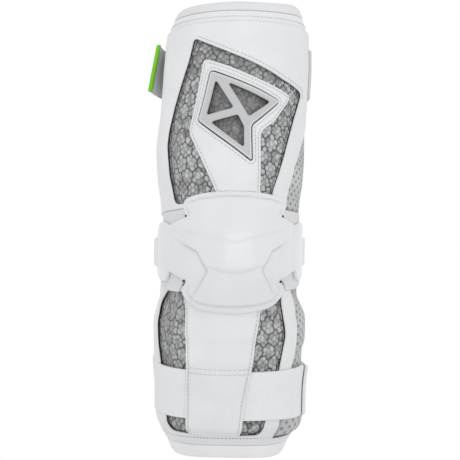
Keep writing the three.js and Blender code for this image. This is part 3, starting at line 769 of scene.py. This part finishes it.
def inset_line(line, distance, loops):
    """The line at a distance inside the blank's edge, without the points that come too near an edge."""
    for side in (-1, 1):
        moved = sideways(line, side * distance)
        edge, _ = from_edge(moved, loops)
        clear = inside(moved, loops) & (edge > 0.9 * distance)
        if clear.mean() > 0.5:
            return moved[clear]
    return line


# %% [markdown]
# The sleeve is the grey padded knit that the arm goes through. It is a plain tube of three lengths, seen
# from behind and inside, so what matters is its rows of small holes. Its two rims are rolled white hems,
# turned like a ring from a closed section, and a stitched band lies over the joint at the top.

# %% Sleeve, hems and band
TOP_HEM = 9 * MM
TOP_BAND = 13 * MM
BOTTOM_HEM = 11 * MM
ELBOW_REACH = 46 * MM
SLEEVE_TOP = UPPER_ARM - TOP_HEM
SLEEVE_BOTTOM = BOTTOM_HEM - FOREARM
ALL_ROUND = np.arange(0, 360, 3) - 180.0


def tube(name, node, start, end, rows):
    blank = strip_blank(ALL_ROUND, lambda turn: start, lambda turn: end, closed=True, rows=rows)
    pressed = (1 - rounded(blank.edge, 0.8 * MM)) * 0.5 * MM
    piece = layer(name, blank, -pressed, -SLEEVE_WALL + pressed, [grey_mesh])
    attach_sheet(piece, node, (360 * WIDE, end - start))


tube("upper_sleeve_knit", "upper_sleeve", ELBOW_REACH + GAP, SLEEVE_TOP, 40)
tube("elbow_sleeve_knit", "elbow_sleeve", -ELBOW_REACH, ELBOW_REACH, 30)
tube("lower_sleeve_knit", "lower_sleeve", SLEEVE_BOTTOM, -ELBOW_REACH - GAP, 30)


def ring(name, node, width, look, section):
    """A band turned round the arm from a section of lengths and heights, whose corners are cut off softly."""
    section = np.array(section)
    for _ in range(3):
        after = np.roll(section, -1, axis=0)
        cuts = [section * 0.75 + after * 0.25, section * 0.25 + after * 0.75]
        section = np.stack(cuts, axis=1).reshape(-1, 2)
    turn = np.repeat(ALL_ROUND, len(section))
    along, height = np.tile(section, (len(ALL_ROUND), 1)).T
    around = np.append(0, np.cumsum(np.linalg.norm(np.diff(section, axis=0), axis=1)))
    flat = np.stack([turn * WIDE, np.tile(around, len(ALL_ROUND))], axis=1)
    faces = grid_faces(len(ALL_ROUND), len(section), joined=True, tube=True)
    piece = dress(name, on_arm(turn, along, height), faces, flat, [look])
    length = 2 * math.pi * float(smoothly(section[:, 0].mean(), section_at, section_wide))
    attach_sheet(piece, node, (length, width))


low, high = SLEEVE_TOP + GAP, UPPER_ARM
ring("top_hem_roll", "top_hem", 11 * MM, hem_leather, [
    (low, -SLEEVE_WALL), (low, 1.2 * MM), (low + 0.8 * MM, 2.2 * MM), (high - 3 * MM, 2.2 * MM),
    (high, 1.2 * MM), (high + 0.2 * MM, -SLEEVE_WALL + 0.6 * MM), (high - 2.5 * MM, -SLEEVE_WALL - 0.2 * MM),
])
low, high = SLEEVE_TOP - TOP_BAND, SLEEVE_TOP + 0.3 * MM
ring("top_band_leather", "top_band", 13 * MM, white_leather, [
    (low, GAP), (low, GAP + BAND_WALL), (low + 3 * MM, GAP + BAND_WALL), (low + 5 * MM, 2.6 * MM),
    (high - 4 * MM, 2.6 * MM), (high - 2.5 * MM, 2.1 * MM), (high, 2.1 * MM), (high, GAP),
])
low, high = -FOREARM, SLEEVE_BOTTOM - GAP
ring("bottom_hem_roll", "bottom_hem", 13 * MM, lit_lower_hem_leather, [
    (high, 0.1 * MM), (high + 1.6 * MM, 0.1 * MM), (high + 1.6 * MM, 1.8 * MM), (high, 2.3 * MM),
    (low + 3 * MM, 2.4 * MM), (low, 1.2 * MM), (low - 0.2 * MM, -SLEEVE_WALL + 0.6 * MM),
    (low + 2.5 * MM, -SLEEVE_WALL - 0.2 * MM), (high, -SLEEVE_WALL),
])
sew("top_band_stitches", [(level(ALL_ROUND * WIDE, SLEEVE_TOP - 4.8 * MM), False)],
    lambda turn, along: np.full_like(turn, 2.65 * MM))

# %% [markdown]
# The pads are moulded foam with a pattern of tall six-sided cells, each filled with seven rounded petals.
# They show in the windows of the shells. The relief is real, as it gives the windows their depth. Each petal
# owns the points that are nearest to its middle, so the grooves fall halfway between two petals: shallow ones
# inside a cell and deep ones between cells. The same number that raises a point also colours it, so the
# grooves are painted darker, a painted shade.

# %% Cell pattern
CELL_PITCH = 10.9 * MM
CELL_ROW = 10.3 * MM
CELL_SHIFT = 0.08
Petal = namedtuple("Petal", "aside up")
PETALS = [Petal(0.2, 0.3), Petal(0.1, 5.1), Petal(-0.2, -5.1), Petal(-3.4, 2.3), Petal(3.3, 2.0),
          Petal(-3.2, -2.2), Petal(3.5, -2.3)]
PETAL_STRAY = 2.3 * MM


def scatter(a, b):
    """A number from 0 to 1 that looks random but is the same for the same pair."""
    mixed = np.sin(a * 12.9898 + b * 78.233) * 43758.5453
    return mixed - np.floor(mixed)


def cells(points):
    """How high each point of the foam stands, from 0 in a groove to 1 on a petal."""
    x, y = points[:, 0], points[:, 1] + CELL_SHIFT * points[:, 0]
    row_here, column_here = np.round(y / CELL_ROW), np.round(x / CELL_PITCH)
    near, owner, shade = np.full((3, len(x)), np.inf), np.zeros((3, len(x))), np.zeros(len(x))
    for up, across, (k, petal) in product((-1, 0, 1), (-1, 0, 1), enumerate(PETALS, 1)):
        row = row_here + up
        column = column_here + across + 0.5 * (row % 2)
        number = row * 31 + column * 2
        stray_x, stray_y = scatter(number, k) - 0.5, scatter(number, k + 10) - 0.5
        away = np.hypot(x - column * CELL_PITCH - petal.aside * MM - PETAL_STRAY * stray_x,
                        y - row * CELL_ROW - petal.up * MM - PETAL_STRAY * stray_y)
        shade = np.where(away < near[0], scatter(number, k + 20), shade)
        for rank in range(3):
            closer = away < near[rank]
            near[rank], away = np.where(closer, (away, near[rank]), (near[rank], away))
            owner[rank], number = np.where(closer, (number, owner[rank]), (owner[rank], number))
    between, corner = (near[1:] - near[0]) / 2
    same = owner[0] == owner[1]
    shallow = 0.58 * (1 - ramp(between, 0, 0.5 * MM))
    deep = 0.88 * (1 - ramp(between, 0.1 * MM, 0.8 * MM))
    knot = 0.7 * np.where(same & (owner[0] == owner[2]), 0, 1 - ramp(corner, 0.1 * MM, 1.1 * MM))
    return (0.45 + 0.55 * shade) * (1 - np.where(same, shallow, deep)) * (1 - knot)


def spread(low, high, fine_low, fine_high, fine, coarse):
    """Steps from low to high, fine between two places and coarse outside them."""
    return np.concatenate([np.arange(low, fine_low, coarse), np.arange(fine_low, fine_high, fine),
                           np.arange(fine_high, high, coarse), [high]])


# %% [markdown]
# The outlines are the paper patterns of the guard. Each corner is a turn in degrees, a share of the arm's
# length, and how far it is rounded in millimetres. They were found by setting the wrapped pieces against the
# photograph, so no measuring on a flat drawing is needed.

# %% Outlines of the shells, the shield panel and the lattice
UPPER_RIGHT_EDGE = corners((97, 0.6), (89, 0.568), (67, 0.432), (56.4, 0.335), (51, 0.228), (48, 0.162))
LOWER_RIGHT_EDGE = corners(
    (57, -0.112), (58.5, -0.15), (65.6, -0.205), (63, -0.28), (61.4, -0.4), (59.8, -0.45), (55, -0.524),
    (43.5, -0.785), (41.9, -0.865))
upper_window = outline(corners(
    (-36.2, 0.846, 4), (-7.3, 0.778), (38.2, 0.676), (63.8, 0.638, 4), (54.4, 0.531), (45.7, 0.41),
    (34, 0.218), (31, 0.18), (-51, 0.18, 7), (-55, 0.3), (-56.3, 0.418), (-54.6, 0.49), (-51.2, 0.575),
    (-38.6, 0.752)))
lower_window = outline(corners(
    (-48, -0.142), (-60, -0.15), (-76, -0.22, 5), (-70, -0.34), (-68.5, -0.43), (-64, -0.505),
    (-56, -0.75), (-55, -0.848, 8), (26.5, -0.853, 5), (31, -0.74), (40.4, -0.522), (46.5, -0.36),
    (46.7, -0.227), (44.5, -0.155)))
upper_shell_edge = outline(corners(
    (SHELL_LEFT_TURN, SHELL_TOP_AT), (SHELL_LEFT_TURN, 0.162), *UPPER_RIGHT_EDGE[::-1],
    (UPPER_RIGHT_EDGE[0].turn, SHELL_TOP_AT)))
lower_shell_edge = outline(corners(
    (SHELL_LEFT_TURN, LOWER_RIGHT_EDGE[0].at), (SHELL_LEFT_TURN, SHELL_BOTTOM_AT),
    (MESH_BACK_TURN, SHELL_BOTTOM_AT), (MESH_BACK_TURN, BORDER_TOP_AT),
    (LOWER_RIGHT_EDGE[-1].turn, BORDER_TOP_AT), *LOWER_RIGHT_EDGE[::-1]))
shield_edge = outline(corners(
    (-25, 0.755, 5), (-6.7, 0.72), (16.5, 0.67), (48, 0.612, 6), (32.3, 0.498), (21.6, 0.455, 5),
    (22.9, 0.2), (-10.5, 0.2), (-24, 0.364), (-32.5, 0.457, 4), (-29.9, 0.555)))
panel_edge = outline(corners(
    (-32.5, -0.12), (-37.2, -0.175), (-32.7, -0.355), (-29.7, -0.47), (-30.6, -0.66), (-30.6, -0.857, 5),
    (9, -0.859), (11.9, -0.657), (15.7, -0.486), (21.2, -0.304), (27.5, -0.16)))
vent_edge = outline(corners(
    (-18.5, 0.7, 3), (16, 0.627), (35.5, 0.583, 3), (14, 0.478, 3), (15, 0.335, 2), (-25, 0.5, 2)))
VENT_HOLES = [
    corners((-14, 0.653, 1), (-18.3, 0.524, 1), (-0.7, 0.549, 1)),
    corners((-3.6, 0.643, 1), (12.2, 0.518, 1), (26.3, 0.576, 1)),
    corners((-14, 0.488, 1), (8.5, 0.394, 1), (8.2, 0.469, 1), (3.6, 0.514, 1)),
]
print("the shells' outlines have", len(upper_shell_edge), "and", len(lower_shell_edge), "points")

# %% [markdown]
# A pad could be a smooth block with a bump in its finish, but its edge would give that away. Here its grid
# is fine enough to raise each petal. Behind the lattice it lies deeper, and there and towards the left side
# its cells are flatter and painted darker as shade. It is also painted darker as shade towards the top and
# near the edges of the window and of the lattice.

# %% Upper and lower pad
RELIEF = 1.2 * MM
FINE = 0.68 * MM
VENT_SINK = 2.4 * MM
PAD_INSET = 5
PAD_LEFT = -97
PAD_TOP = SLEEVE_TOP - TOP_BAND - GAP
ELBOW_TURN = 60.5


def side_line(rows):
    """The turn of a pad's side at a length along the arm, from rows of a turn and a length."""
    turns, lengths = np.array(rows).T
    return lambda along: np.interp(along, lengths, turns)


def beside(rows, arm):
    """The part of a pad's side that keeps inside the edge of its shell."""
    return [(row.turn - PAD_INSET, row.at * arm) for row in rows[::-1]]


def pad(name, node, window, rows, left, right):
    """A grid of rows along the arm and turns between two sides. The cells' height also colours the foam:
    painted shade.
    """
    left, right = side_line(left), side_line(right)
    share = spread(0, 1, 0.1, 0.97, FINE / (160 * WIDE), 0.02)
    points = np.concatenate([
        level((left(along) + (right(along) - left(along)) * share) * WIDE, along) for along in rows])
    blank = Blank(points, grid_faces(len(rows), len(share))[:, ::-1], None, np.zeros(len(points), int))
    turn, along = place(blank)
    behind = inside(points, [vent_edge])
    away, _ = from_edge(points, [vent_edge])
    sunk_and_shaded = np.where(behind, 1, 1 - ramp(away, 0.5 * MM, 1.5 * MM))
    height = cells(points)
    # Towards the left the cells are flatter and painted darker as shade.
    height = height + (1 - ramp(turn, -60, -28)) * 0.5 * (0.32 - height)
    # Painted shade: darker towards the top, under the window's upper edge.
    height = height * (1 - 0.3 * ramp(along, 126 * MM, 140 * MM))
    # Behind the lattice the cells are flatter and painted darker as shade.
    height = height + sunk_and_shaded * (0.17 + 0.3 * height - height)
    # Painted shade of the shell's edge: lower and darker near the window's sides.
    clear_of_edge_shade = [inside(points + [step * MM, 0], [window]) for step in (-2.2, -1.4, -0.7, 0.7, 1.4, 2.2)]
    height = height * np.where(clear_of_edge_shade[2] & clear_of_edge_shade[3], np.mean(clear_of_edge_shade, axis=0) ** 2, 1)
    # Painted shade round the lattice: lower and darker just outside its edge.
    height = height * np.where(behind, 1, ramp(away, 0.8 * MM, 1.6 * MM))
    top = pad_top(turn, along) - RELIEF + RELIEF * height - VENT_SINK * sunk_and_shaded
    piece = layer(name, blank, top, GAP, [grey_foam], values={"cell": height})
    attach(piece, node)


pad("upper_pad_cells", "upper_pad", upper_window, spread(GAP, PAD_TOP, 33 * MM, 164 * MM, FINE, 3 * MM),
    [(-ELBOW_TURN, GAP), (-ELBOW_TURN, 0.162 * UPPER_ARM), (PAD_LEFT, PAD_TOP)],
    [(ELBOW_TURN, GAP), (ELBOW_TURN, 0.71 * CAP_UP), *beside(UPPER_RIGHT_EDGE, UPPER_ARM)])
pad("lower_pad_cells", "lower_pad", lower_window, spread(-134 * MM, -GAP, -131 * MM, -20 * MM, FINE, 3 * MM),
    [(PAD_LEFT, -0.6 * CAP_DOWN), (-ELBOW_TURN, -0.5 * CAP_DOWN), (-ELBOW_TURN, 0)],
    [*beside(LOWER_RIGHT_EDGE, FOREARM), (ELBOW_TURN, 0)])

# %% [markdown]
# Each shell is one leather blank with a window in it. Its edges are turned and stitched, so they are
# rounded, dip a little at the stitches and puff up behind them. The walls of the windows are near-black, a
# painted shade for the shadow that lies on the cut through the foam.

# %% Shells
def leather_piece(name, node, loops, foot, rolled=0.9 * MM):
    blank = cut_blank(loops)
    under = foot(*place(blank))
    piece = layer(name, blank, under + leather_edge(blank.edge, SHELL_WALL, rolled), under,
                  [white_leather, near_black_wall_shade])
    attach_cut(piece, node, blank)


leather_piece("upper_shell_leather", "upper_shell", [upper_shell_edge, upper_window], shell_foot)
leather_piece("lower_shell_leather", "lower_shell", [lower_shell_edge, lower_window], shell_foot)

# %% [markdown]
# Beside the shells, on the right, the guard is closed by padded mesh. It is the sleeve's knit over foam, so
# it is thick beside the shell, thinner towards the back, and it swells where no strap holds it down.

# %% Side mesh
MESH_WALL = 5 * MM
MESH_BACK = 2 * MM
MESH_THINS_FROM = 105
LOW_SWELL = 3.4 * MM
HIGH_SWELL = 2.2 * MM
GAP_TURN = math.degrees(GAP / HALF_WIDTH)


def side_mesh(name, node, rows):
    edge = [row._replace(turn=row.turn + 3 * GAP_TURN) for row in rows]
    back = corners((MESH_BACK_TURN, rows[-1].at), (MESH_BACK_TURN, rows[0].at))
    blank = cut_blank([outline([*edge, *back])])
    turn, along = place(blank)
    thinned = ramp(turn, MESH_THINS_FROM, MESH_BACK_TURN)
    swell = (LOW_SWELL * (1 - ramp(along, -121 * MM, -118 * MM))
             + HIGH_SWELL * ramp(along, -77 * MM, -66 * MM) * (1 - ramp(along, -50 * MM, -32 * MM)))
    full = MESH_WALL + (MESH_BACK - MESH_WALL) * thinned + swell * (1 - thinned)
    top = GAP + full * (0.55 + 0.45 * rounded(blank.edge, 3 * MM))
    attach_cut(layer(name, blank, top, GAP, [grey_mesh]), node, blank)


side_mesh("upper_side_mesh_knit", "upper_side_mesh", UPPER_RIGHT_EDGE)
side_mesh("lower_side_mesh_knit", "lower_side_mesh", LOWER_RIGHT_EDGE)

# %% [markdown]
# The shield panel fills the upper window around a moulded lattice with three holes. The lattice is one
# plastic plate: its bars are rounded over at the edges and a shallow trough runs inside its rim. Its colour
# is darker in the trough and near the holes, a painted shade for its bevels, and the walls of its holes and
# of the panel's hole round it are near-black, a painted shade for the shadow in them.

# %% Shield panel and lattice
widened = widen(vent_edge, 2 * GAP)
leather_piece("shield_panel_leather", "shield_panel", [shield_edge, widened], shell_foot, rolled=0.7 * MM)
holes = [widen(outline(rows, 0.6 * MM), 0.6 * MM) for rows in VENT_HOLES]
vent_blank = cut_blank([vent_edge, *holes], rings=(0.25, 0.6, 1.1, 1.8), grain=1.6 * MM)
under = shell_foot(*place(vent_blank))
outer = vent_blank.loop == 0
trough = np.where(outer, ramp(vent_blank.edge, 0.6 * MM, 1.7 * MM), 1)
# Painted shade: darker in the trough and near the holes' edges, for the bevels.
shade = 0.4 * trough + np.where(outer, 0, 0.2 * (1 - ramp(vent_blank.edge, 0, 1.2 * MM)))
bevel = 0.72 + 0.28 * rounded(vent_blank.edge, 0.8 * MM)
vent = layer("vent_frame_lattice", vent_blank, under + LATTICE_WALL * bevel - 0.5 * MM * trough, under,
             [silver_plastic, near_black_wall_shade], values={"crease_shade": shade})
attach(vent, "vent_frame")

# %% [markdown]
# The forearm panel is a long leather tongue that hangs from under the cap and covers the lower strap. It is
# cut and stitched like the shells.

# %% Forearm panel
leather_piece("forearm_panel_leather", "forearm_panel", [panel_edge], panel_foot)

# %% [markdown]
# The cap is a hard glossy shell. Its outline has two wings and four notches, and it is symmetrical about
# its middle. A step follows its top and bottom rims, two creased lines bend inwards on each side of a
# raised middle, and a low brow and a low ledge cross it. Each of these is a height added over the form, a
# function of the distance from a line.

# %% Elbow cap
Mark = namedtuple("Mark", "turn rise round", defaults=(0,))


def marks(*rows):
    return [Mark(*row) for row in rows]


def cap_corner(mark, side):
    along = mark.rise * (CAP_UP if mark.rise > 0 else CAP_DOWN)
    return Corner(CAP_TURN + side * mark.turn, along / (UPPER_ARM if along > 0 else FOREARM), mark.round)


CAP_HALF = marks(
    (0, 1, 20), (25, 0.975, 6), (36.5, 0.925, 2.5), (41, 0.8, 2), (36, 0.63), (57, 0.53), (73, 0.64, 8),
    (88, 0.36, 6), (97, 0.04, 14), (90, -0.32, 8), (76, -0.56, 7), (62, -0.56, 3), (57, -0.31),
    (36.5, -0.46), (41.5, -0.7, 3), (36, -0.89, 5), (26, -1.03, 6), (0, -1.09, 20))
CREASE = marks((35.7, 8.4), (25.5, 4.4), (18, -7), (27.5, -20.5))
LEDGE = marks((-17, -4.2), (-9, -6.6), (0, -7.9), (9, -6.4), (16, -4.2))
BROW = marks((-28, 15.7), (0, 10), (24, 15.4))
# A line, its side, its step and that step's softness and reach in millimetres, and the darkness
# of the painted shade along it.
FOLDS = [(CREASE, -1, -1.2, 0.5, 10, 0.5), (CREASE, 1, -1.2, 0.5, 10, 0.5), (LEDGE, 1, 0.5, 0.8, 6, 0.15),
         (BROW, 1, 0.7, 1.6, 9, 0)]
CREASE_WIDE = 0.55 * MM


def to_line(points, rows, side):
    """Distance from an open line of marks, and the side of it: positive above or outside."""
    line = np.array([[(CAP_TURN + side * mark.turn) * WIDE, mark.rise * MM] for mark in rows])
    best, sign = np.full(len(points), np.inf), np.zeros(len(points))
    for a, b in zip(line[:-1], line[1:]):
        way = b - a
        t = np.clip((points - a) @ way / (way @ way), 0, 1)
        offset = points - a - t[:, None] * way
        away = np.hypot(offset[:, 0], offset[:, 1])
        cross = way[0] * (points[:, 1] - a[1]) - way[1] * (points[:, 0] - a[0])
        closer = away < best
        best[closer], sign[closer] = away[closer], np.sign(cross[closer])
    return best, sign


cap_edge = outline([*(cap_corner(mark, 1) for mark in CAP_HALF),
                    *(cap_corner(mark, -1) for mark in CAP_HALF[-2:0:-1])], 0.9 * MM)
cap_blank = cut_blank([cap_edge], rings=(0.25, 0.6, 1.1, 1.8), grain=1.15 * MM)
turn, along = place(cap_blank)
under = cap_foot(turn, along)
relief, crease_shade = np.zeros_like(turn), np.zeros_like(turn)
for line, side, step, soft, reach, dark in FOLDS:
    away, sign = to_line(cap_blank.points, line, side)
    relief += step * MM * np.tanh(sign * side * away / (soft * MM)) * np.exp(-away / (reach * MM))
    # Along each line the colour is painted darker: painted shade in the crease.
    crease_shade = np.maximum(crease_shade, dark * np.exp(-((away / CREASE_WIDE) ** 2)))
rim_band = np.where(along > 0, 3.5 * MM, 4.7 * MM)
at_rims = (1 - ramp(np.abs(turn - CAP_TURN), 33, 38)) * ramp(np.abs(along - 5 * MM), 20 * MM, 24 * MM)
relief -= 0.6 * MM * (1 - ramp(cap_blank.edge, rim_band - 0.5 * MM, rim_band + 0.5 * MM)) * at_rims
# The rims' steps are painted darker along them: painted shade.
crease_shade = np.maximum(crease_shade, 0.45 * at_rims * np.exp(-(((cap_blank.edge - rim_band) / (0.5 * MM)) ** 2)))
roll = rounded(cap_blank.edge, 1.3 * MM)
cap = layer("elbow_cap_shell", cap_blank, under + CAP_WALL * (0.35 + 0.65 * roll) + relief * roll, under,
            [cap_plastic], values={"crease_shade": crease_shade})
attach(cap, "elbow_cap")

# %% [markdown]
# Four short tabs of elastic come out of the cap's notches and hold it to the shells. They are drawn like
# the cap, as shares of its height. The lower ones lie on the forearm's shell. Where no shell is under a tab,
# it lies on the foam and is as thick as the shell.

# %% Tabs in the cap's notches
UPPER_TAB = marks((33, 0.763), (33, 0.57), (62, 0.46), (76, 0.56), (76, 0.763))
LOWER_TAB = marks((37, -0.4), (65, -0.25), (77, -0.5), (76, -0.68), (64, -0.74), (46, -0.72))
THIN_TAB = 1.1 * MM
for height, tab_marks in (("upper", UPPER_TAB), ("lower", LOWER_TAB)):
    for name, side in (("left", -1), ("right", 1)):
        blank = cut_blank([outline([cap_corner(mark, side) for mark in tab_marks])], rings=(0.3, 0.7))
        turn, along = place(blank)
        on_top = (SHELL_WALL + 0.1 * MM) * (1 - ramp(along, -17.2 * MM, -15.5 * MM))
        under = shell_foot(turn, along) + on_top
        wall = np.where(on_top > 0, THIN_TAB, SHELL_WALL) * (0.7 + 0.3 * rounded(blank.edge, 0.4 * MM))
        tab = layer(f"tab_{height}_{name}", blank, under + wall, under, [tab_elastic])
        attach_cut(tab, f"cap_tab_{height}_{name}", blank)

# %% [markdown]
# A notch ends in a small drilled hole, so that the plastic doesn't tear there. From outside it is a dark
# dot of shade, so a dark bead sunk in the plastic, its colour painted shade, stands for it.

# %% Holes at the cap's notches
NOTCH_HOLES = marks((-35.8, 26.2), (35.8, 26.2), (-37.4, -14), (35, -14.8))
for number, mark in enumerate(NOTCH_HOLES, 1):
    turn, along = mark.turn + CAP_TURN, mark.rise * MM
    spot = on_arm(turn, along, cap_foot(turn, along) + CAP_WALL)[0]
    bpy.ops.object.select_all(action="DESELECT")
    bpy.ops.mesh.primitive_uv_sphere_add(segments=16, ring_count=8, radius=1 * MM, location=tuple(spot))
    hole = bpy.context.object
    hole.name = f"notch_hole_{number}"
    bpy.ops.object.transform_apply(location=True)
    bpy.ops.object.shade_smooth()
    hole.data.materials.append(notch_hole_shade)
    attach(hole)
    print(hole.name, "at", [round(float(part) / MM, 1) for part in spot], "mm")

# %% [markdown]
# The straps are strips of ribbed elastic that follow the layers under them. Those that go round the back
# come down on the sleeve there. The left end of the upper strap is a mesh pull tab with a bright green
# bound edge, which stands off the arm.

# %% Straps
STRAP_HALF = 19 * MM
STRAP_CLIMB = 2.7 * MM
TAB_CLIMB = 6.7 * MM
STRAP_FROM = 80
STRAP_MIDDLE = length_at(0.74)
TAB_TURN = -120
TAB_REACH = 27
STRAP_TO = 360 + TAB_TURN - GAP_TURN
ELBOW_STRAP_AT = length_at(0.015)
ELBOW_STRAP_HALF = 10.5 * MM


def strap(name, node, turns, sides, foot, look, wall=STRAP_WALL, soft=0.7 * MM,
          folded=1.0, thin_ends=0.0, closed=False, rows=8):
    """A strip of elastic between two sides. thin_ends is how much thinner its ends are, which sink in."""
    blank = strip_blank(turns, *sides, closed, rows)
    turn, along = place(blank)
    from_end = np.minimum(turn - turns[0], turns[-1] - turn) * WIDE
    under = foot(turn, along) - thin_ends * 0.9 * MM * (1 - ramp(from_end, 0, 14 * MM))
    wall = wall * (1 - thin_ends * (1 - ramp(from_end, 0, 6 * MM)))
    piece = layer(name, blank, under + wall * (0.5 + 0.5 * rounded(blank.edge, soft)), under, [look])
    if closed:
        attach_sheet(piece, node, (360 * WIDE, LOWER_STRAP_WIDTH))
    else:
        attach_cut(piece, node, blank, folded)


def beside_middle(middle, half):
    """The lower and the upper side of a strap, from its middle line."""
    return lambda turn: middle(turn) - half, lambda turn: middle(turn) + half


def strap_middle(turn):
    """The upper strap climbs a little towards its left end."""
    return STRAP_MIDDLE + STRAP_CLIMB * (turn - STRAP_FROM) / (STRAP_TO - STRAP_FROM)


def tab_middle(turn):
    out = np.clip((turn - TAB_TURN) / TAB_REACH, 0, 1)
    return STRAP_MIDDLE + STRAP_CLIMB + (TAB_CLIMB - STRAP_CLIMB) * out


def tab_foot(turn, along):
    """The pull tab stands off the arm, most at its lower corner."""
    out = np.clip((turn - TAB_TURN) / TAB_REACH, 0, 1.5)
    down = np.clip((STRAP_MIDDLE + TAB_CLIMB - along) / (2 * STRAP_HALF) + 0.5, 0, 1)
    return upper_strap_foot(turn, along) + out * (9 * MM * down + 5 * MM * (1 - down))


def lower_low(turn):
    """The lower strap dips at the sides, more at the right."""
    side = np.sin(np.radians(turn))
    return length_at(LOWER_STRAP_AT) - LOWER_STRAP_WIDTH / 2 - 6 * MM * side ** 2 - 1.5 * MM * side


def lower_high(turn):
    """Its upper edge is tucked down at the right."""
    tuck = 8 * MM * np.maximum(0, 1 - ((turn - 115) / 45) ** 2)
    return lower_low(turn) + LOWER_STRAP_WIDTH - tuck


def strap_end_foot(turn, along):
    """The strap's end lies on the strap, and lifts a little towards the front."""
    return lower_strap_foot(turn, along) + STRAP_WALL + GAP + 0.4 * MM * np.clip((105 - turn) / 30, 0, 1)


tab_sides = beside_middle(tab_middle, STRAP_HALF)
strap("upper_strap_elastic", "upper_strap", np.linspace(STRAP_FROM, STRAP_TO, 90),
      beside_middle(strap_middle, STRAP_HALF), upper_strap_foot, shaded_strap_elastic)
strap("pull_tab_knit", "pull_tab", np.linspace(TAB_TURN, TAB_TURN + TAB_REACH - GAP_TURN, 28), tab_sides,
      tab_foot, grey_webbing, wall=1.6 * MM)
strap("pull_tab_binding", "pull_tab_edge", np.linspace(TAB_TURN + TAB_REACH, TAB_TURN + TAB_REACH + 3, 8),
      tab_sides, lambda turn, along: tab_foot(turn, along) - 0.7 * MM, green_tape,
      wall=3 * MM, soft=1.4 * MM, folded=2.0)
strap("elbow_strap_elastic", "elbow_strap", np.linspace(78 + CAP_TURN, 282 + CAP_TURN, 110),
      beside_middle(lambda turn: ELBOW_STRAP_AT, ELBOW_STRAP_HALF), elbow_strap_foot, white_elastic,
      thin_ends=0.7)
strap("lower_strap_elastic", "lower_strap", np.arange(-180, 180, 2.5), (lower_low, lower_high),
      lower_strap_foot, white_elastic, closed=True, rows=12)
strap("strap_end_leather", "lower_strap_end", np.linspace(75, 120, 30), (lower_low, lower_high),
      strap_end_foot, white_leather, wall=2 * MM, soft=1.2 * MM)

# %% [markdown]
# The seams are sewn with a row of stitches near each turned edge. Two more rows cross the forearm panel at
# the upper edge of the strap under it, and one runs round the lower border.

# %% Seams
def over(foot, wall):
    return lambda turn, along: foot(turn, along) + wall


def part_of(line, turns, lengths):
    """The run of a closed line that lies in a range of turns and of lengths along the arm."""
    low, high = np.transpose([np.array(turns) * WIDE, np.array(lengths) * MM])
    kept = ((line > low) & (line < high)).all(axis=1)
    start = int(np.argmax(kept & ~np.roll(kept, 1)))
    rolled, kept = np.roll(line, -start, axis=0), np.roll(kept, -start)
    return rolled[:int(np.argmin(kept))] if not kept.all() else rolled


on_shell, on_panel = over(shell_foot, SHELL_WALL + 0.05 * MM), over(panel_foot, SHELL_WALL + 0.4 * MM)
window_line = inset_line(upper_window, 2.6 * MM, [upper_shell_edge, upper_window])
panel_line = inset_line(panel_edge, 2.4 * MM, [panel_edge])
shield_lines = [inset_line(line, 2.2 * MM, [shield_edge, widened]) for line in (shield_edge, widened)]
sew("upper_window_stitches", [(part_of(window_line, (-34, 66), (120, 170)), False)], on_shell)
sew("shield_stitches", [(line, True) for line in shield_lines], on_shell)
panel_rows = [part_of(panel_line, turns, (-129, -26)) for turns in ((-40, 0), (0, 40))]
cross_rows = [level(np.linspace(-28, 14, 40) * WIDE, at * MM) for at in (-74.5, -78.5)]
sew("forearm_panel_stitches", [(row, False) for row in panel_rows], on_panel)
sew("forearm_cross_stitches", [(row, False) for row in cross_rows], on_panel, faint_hole_shade)
sew("border_stitches", [(level(np.linspace(-95, 38, 120) * WIDE, -134 * MM), False)], on_shell, dark_hole_shade)

# %% [markdown]
# The photograph was taken from straight ahead with a long lens, in soft even light. The camera stands 1.8 m
# away, and its lens is worked out from how many millimetres one pixel shows. A white world gives most of
# the light, and two large lamps model the forms a little.

# %% Light, camera and floor
PIXEL = 0.79 * MM
PHOTO = 460
MIDDLE_X, MIDDLE_Y = 229.5, 255
DISTANCE = 1.8
SENSOR = 36.0

camera_data = bpy.data.cameras.new("camera")
camera = bpy.data.objects.new("camera", camera_data)
bpy.context.scene.collection.objects.link(camera)
camera.location = (0, -DISTANCE, 0)
camera.rotation_euler = (math.pi / 2, 0, 0)
camera_data.sensor_width = SENSOR
camera_data.lens = SENSOR * DISTANCE / (PHOTO * PIXEL)
camera_data.shift_x = (PHOTO / 2 - MIDDLE_X) / PHOTO
camera_data.shift_y = (MIDDLE_Y - PHOTO / 2) / PHOTO
camera_data.clip_start = 0.05
bpy.context.scene.camera = camera
bpy.context.scene.view_settings.view_transform = "Standard"

world = bpy.data.worlds.new("studio")
world.use_nodes = True
sky = world.node_tree.nodes["Background"].inputs
sky["Color"].default_value = (1, 1, 1, 1)
sky["Strength"].default_value = 1.0
bpy.context.scene.world = world


def soft_light(name, place, size, power):
    data = bpy.data.lights.new(name, "AREA")
    data.size = size
    data.energy = power
    light = bpy.data.objects.new(name, data)
    bpy.context.scene.collection.objects.link(light)
    light.location = place
    light.rotation_euler = (-Vector(place)).to_track_quat("-Z", "Y").to_euler()


soft_light("key", (-0.9, -1.3, 1.1), 0.9, 0.8)
soft_light("fill", (0.5, -2.0, -0.15), 1.5, 7.0)

bpy.ops.object.select_all(action="DESELECT")
bpy.ops.mesh.primitive_plane_add(size=1.8, location=(0, 0, -0.25))
floor = bpy.context.object
floor.name = "floor"
floor_look, floor_shader = start_finish("pale floor", Roughness=0.9)
floor_shader.inputs["Base Color"].default_value = (0.85, 0.85, 0.85, 1)
floor.data.materials.append(floor_look)
